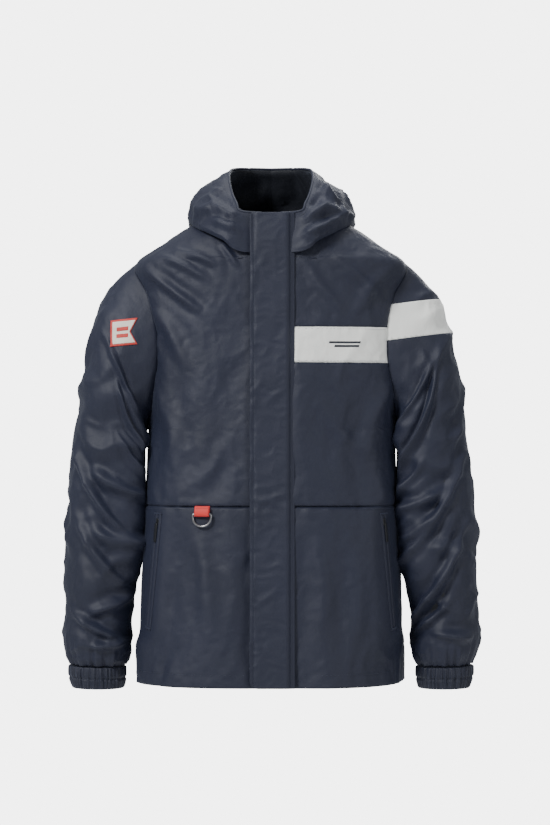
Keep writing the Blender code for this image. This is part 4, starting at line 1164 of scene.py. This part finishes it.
def hand_pockets():
    for side, word in ((1, "left"), (-1, "right")):
        f = PocketFrame(side)
        count = 120
        t = np.linspace(-0.02, 1.03, count)
        xs = side * (POCKET_TOP[0] + (POCKET_FOOT[0] - POCKET_TOP[0]) * t)
        zs = POCKET_TOP[1] + (POCKET_FOOT[1] - POCKET_TOP[1]) * t
        line, normals = surface_line(xs, zs)
        lip = [(0.0, -0.0004), (0.0006, 0.0006), (0.0018, 0.0011), (0.0036, 0.0011), (0.0052, 0.0007),
               (0.0066, 0.0001),
               (0.0066, -0.0012), (0.0, -0.0014)]
        for hand in (1, -1):
            profile = [(hand * (a + 0.0007), b) for a, b in lip]
            welt = swept(f"pocket_welt_{word}_{'rear' if hand > 0 else 'front'}", line, normals, profile,
                         SHELL)
            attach(welt, "shell")
            welt_row = line + np.cross(unit(np.gradient(line, axis=0)),
                                       normals) * hand * 0.0080 + normals * 0.0001
            stitches(f"pocket_stitch_{word}_{'rear' if hand > 0 else 'front'}", welt_row, normals, THREAD,
                     "shell")
        tape = swept(f"pocket_tape_{word}", line, normals,
                     [(-0.0014, -0.0006), (0.0014, -0.0006), (0.0014, -0.0001),
                                                            (-0.0014, -0.0001)], TAPE)
        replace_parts(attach(tape, "shell"), f"pocket_zip_{word}_front", f"pocket_zip_{word}_rear")
        for end, place in (("head", 0), ("foot", count - 4)):
            centre, normal = line[place + 1], normals[place + 1]
            way = unit(line[place + 2] - line[place + 1])
            across = np.cross(way, normal)
            reach = np.linspace(-0.0075, 0.0075, 26)[:, None]
            tack_line = centre + across * reach + normal * 0.0011
            tack = swept(f"pocket_tack_{word}_{end}", tack_line, np.repeat(normal[None], 26, 0),
                         [(-0.0009, -0.0012), (-0.0009, 0.0003), (0.0009, 0.0003), (0.0009, -0.0012)],
                         THREAD)
            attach(tack, "shell")
        plate = rounded(f"pocket_slider_plate_{word}", rounded_box(0.0076, 0.0052, 0.0152, 0.0016),
                        lambda a, b, c: f.at(b, a, 0.0004 + c), 0.0010, PLASTIC)
        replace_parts(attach(plate, f"pocket_slider_{word}"), f"pocket_slider_{word}")
        bridge = rounded(f"pocket_slider_bridge_{word}", rounded_box(0.0026, 0.0066, 0.0112, 0.0010),
                         lambda a, b, c: f.at(b, a, 0.0012 + c), 0.0014, PLASTIC, 0.0003)
        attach(bridge, f"pocket_slider_{word}")
        pull = rounded(f"pocket_pull_tab_{word}", rounded_box(0.0056, 0.0120, 0.0400, 0.0022),
                       lambda a, b, c: f.at(b, a, 0.0018 + c), 0.0013, PLASTIC, 0.0004)
        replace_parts(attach(pull, f"pocket_pull_{word}"), f"pocket_pull_{word}")


class RingFrame:
    """The place of the ring's tab on the waist seam, as in the CAD source."""

    def __init__(self):
        angle = angle_at_x(RING_X, WAIST_Z)
        self.seat = body(angle, WAIST_Z)
        self.out = body_normal(angle, WAIST_Z)
        self.down = unit(np.array([0, 0, -1.0]) + self.out * self.out[2])
        self.across = np.cross(self.down, self.out)

    def at(self, down, across, out):
        return self.seat + self.down * down + self.across * across + self.out * out


def ring_and_tab():
    frame_of = RingFrame()
    half = RING_RADIUS
    path = [(0, -half * s) for s in np.linspace(0, 0.84, 8)]
    path += [(0.0004, -half * 0.95), (0.0016, -half)]
    path += [(0.0040 + half * np.sin(t), -half * np.cos(t)) for t in np.linspace(0.15, np.pi - 0.15, 30)]
    path += [(0.0016, half), (0.0004, half * 0.95)] + [(0, half * s) for s in np.linspace(0.84, 0.12, 7)]
    curve = bpy.data.curves.new("ring_wire", "CURVE")
    curve.dimensions = "3D"
    curve.bevel_depth = RING_WIRE * 1.08
    curve.bevel_resolution = 6
    spline = curve.splines.new("POLY")
    spline.points.add(len(path) - 1)
    for point, (drop, across) in zip(spline.points, path):
        point.co = (*frame_of.at(BAR_DROP + drop, across, BAR_OUT), 1)
    spline.use_cyclic_u = True
    curve.materials.append(GUNMETAL)
    ring = bpy.data.objects.new("ring_wire", curve)
    bpy.context.scene.collection.objects.link(ring)
    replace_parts(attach(ring, "d_ring"), "d_ring")
    # The webbing strip, folded round the ring's bar
    reach = TAB_REACH + 0.0005
    path = [(-0.0010, BAR_OUT - reach)] + [(d, BAR_OUT - reach) for d in np.linspace(0.001, BAR_DROP, 6)]
    path += [(BAR_DROP + reach * np.sin(t), BAR_OUT - reach * np.cos(t))
             for t in np.linspace(0.3, np.pi - 0.3, 12)]
    path += [(d, BAR_OUT + reach - 0.0022 * smooth(BAR_DROP - d, 0.002, 0.012))
             for d in np.linspace(BAR_DROP, -0.0006, 8)]
    line = np.array([frame_of.at(d, 0, o) for d, o in path])
    way = unit(np.gradient(line, axis=0))
    ups = np.cross(way, frame_of.across)
    wide = TAB_WIDTH / 2
    columns = np.linspace(-wide, wide, 14)
    profile = [(a, 0.0005) for a in columns] + [(a, -0.0005) for a in columns[::-1]]
    tab = swept("ring_tab_cloth", line, ups, profile, WEBBING)
    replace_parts(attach(tab, "shell"), "ring_tab")
    face = np.array([frame_of.at(0.0022, c, BAR_OUT + reach - 0.0010)
                     for c in np.linspace(-wide * 0.86, wide * 0.86, 30)])
    row = stitches("ring_tab_stitch", face, np.repeat(frame_of.out[None], 30, 0), RED_THREAD, "shell",
                   0.0026, 0.0019)


def chest_mark():
    """Two plain printed bars, a generic mark, in the middle of the chest band."""
    middle_z = (CHEST_STRIPE[0] + CHEST_STRIPE[1]) / 2 + 0.001
    for name, x0, x1, drop, height in (("mark_bar_upper", 0.084, 0.130, 0.0024, 0.0030),
                                       ("mark_bar_lower", 0.094, 0.130, -0.0030, 0.0030)):
        zs = middle_z + drop + np.linspace(-height / 2, height / 2, 4)
        rows = []
        for z in zs:
            lean = (z - middle_z) * 0.35
            line, normals = surface_line(np.linspace(x0 + lean, x1 + lean, 40), np.full(40, z))
            rows.append(line + normals * 0.00025)
        obj = cloth_object(name, np.array(rows), PRINT, 0.0004)
        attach(obj, "shell")


def neck_fittings():
    turns = np.linspace(0, np.pi, 40)
    line = np.stack([0.0247 * np.cos(turns), 0.0562 - 0.0064 * np.sin(turns),
                     -0.0050 + 0.0158 * np.sin(turns)], -1)
    ups = np.stack([np.cos(turns), 0 * turns, np.sin(turns)], -1)
    loop = swept("hanger_loop_tape", line, ups, [(-0.0026, -0.0005), (-0.0026, 0.0005), (0.0026, 0.0005),
                                                 (0.0026, -0.0005)], TAPE)
    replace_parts(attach(loop, "shell"), "hanger_loop")
    label = rounded("neck_label_cloth", rounded_box(0.048, -0.052, -0.012, 0.0015),
                    lambda a, b, c: (a, 0.0610 - 0.0012 * (a / 0.024) ** 2 + c, b), 0.0008, LINING, 0.0003)
    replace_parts(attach(label, "shell"), "neck_label")


def carried_nodes():
    """CAD pieces whose own shape is right keep it, with finished materials."""
    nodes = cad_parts
    for name, obj in nodes.items():
        if obj.hide_render:
            continue
        if name.startswith(("press_stud", "stud_socket")):
            finish = STUD_METAL
        elif name.startswith("zip_"):
            finish = PLASTIC
        else:
            print("left showing:", name)
            finish = SHELL
        obj.material_slots[0].material = finish


# ---------------------------------------------------------------- stage

def area_light(name, place, aim, size, power, colour=(1, 1, 1)):
    data = bpy.data.lights.new(name, "AREA")
    data.shape = "DISK"
    data.size = size
    data.energy = power
    data.color = colour
    light = bpy.data.objects.new(name, data)
    bpy.context.scene.collection.objects.link(light)
    light.location = place
    light.rotation_euler = (Vector(aim) - Vector(place)).to_track_quat("-Z", "Y").to_euler()


FLOOR_Z, FLOOR_RADIUS = -1.42, 2.9


def stage():
    turns = np.linspace(0, 2 * np.pi, 48, endpoint=False)
    floor = mesh_object("floor", [(FLOOR_RADIUS * np.cos(t), FLOOR_RADIUS * np.sin(t), FLOOR_Z)
                                  for t in turns], [tuple(range(48))],
                        principled("floor_paper", (0.80, 0.80, 0.80), 0.9))
    world = bpy.data.worlds.new("studio")
    bpy.context.scene.world = world
    world.use_nodes = True
    tree = world.node_tree
    lit = tree.nodes["Background"]
    lit.inputs["Color"].default_value = (0.95, 0.97, 1.0, 1)
    lit.inputs["Strength"].default_value = 0.42
    seen = tree.nodes.new("ShaderNodeBackground")
    seen.inputs["Color"].default_value = (1, 1, 1, 1)
    seen.inputs["Strength"].default_value = 5.2
    path = tree.nodes.new("ShaderNodeLightPath")
    mix = tree.nodes.new("ShaderNodeMixShader")
    tree.links.new(path.outputs["Is Camera Ray"], mix.inputs[0])
    tree.links.new(lit.outputs[0], mix.inputs[1])
    tree.links.new(seen.outputs[0], mix.inputs[2])
    tree.links.new(mix.outputs[0], tree.nodes["World Output"].inputs["Surface"])
    aim = (0, 0, -0.33)
    area_light("key", (-1.9, -2.2, 1.7), aim, 1.0, 105)
    area_light("fill", (2.4, -2.4, 0.5), aim, 1.8, 22)
    area_light("top", (0.1, 0.4, 2.2), aim, 1.2, 26)
    area_light("back", (0.8, 2.8, 1.0), aim, 1.6, 30)


def camera():
    data = bpy.data.cameras.new("camera")
    made = bpy.data.objects.new("camera", data)
    bpy.context.scene.collection.objects.link(made)
    made.location = (0.006, -4.0, -0.274)
    made.rotation_euler = (np.pi / 2, 0, 0)
    data.lens = 116.4
    data.dof.use_dof = False
    bpy.context.scene.camera = made


camera()
stage()
front_panels()
back_panels()
body_lining()
pocket_bags()
body_stitching()
sleeves()
sleeve_badge()
hood_pieces()
storm_flap()
front_zip()
hand_pockets()
ring_and_tab()
chest_mark()
neck_fittings()
carried_nodes()
bpy.context.view_layer.update()
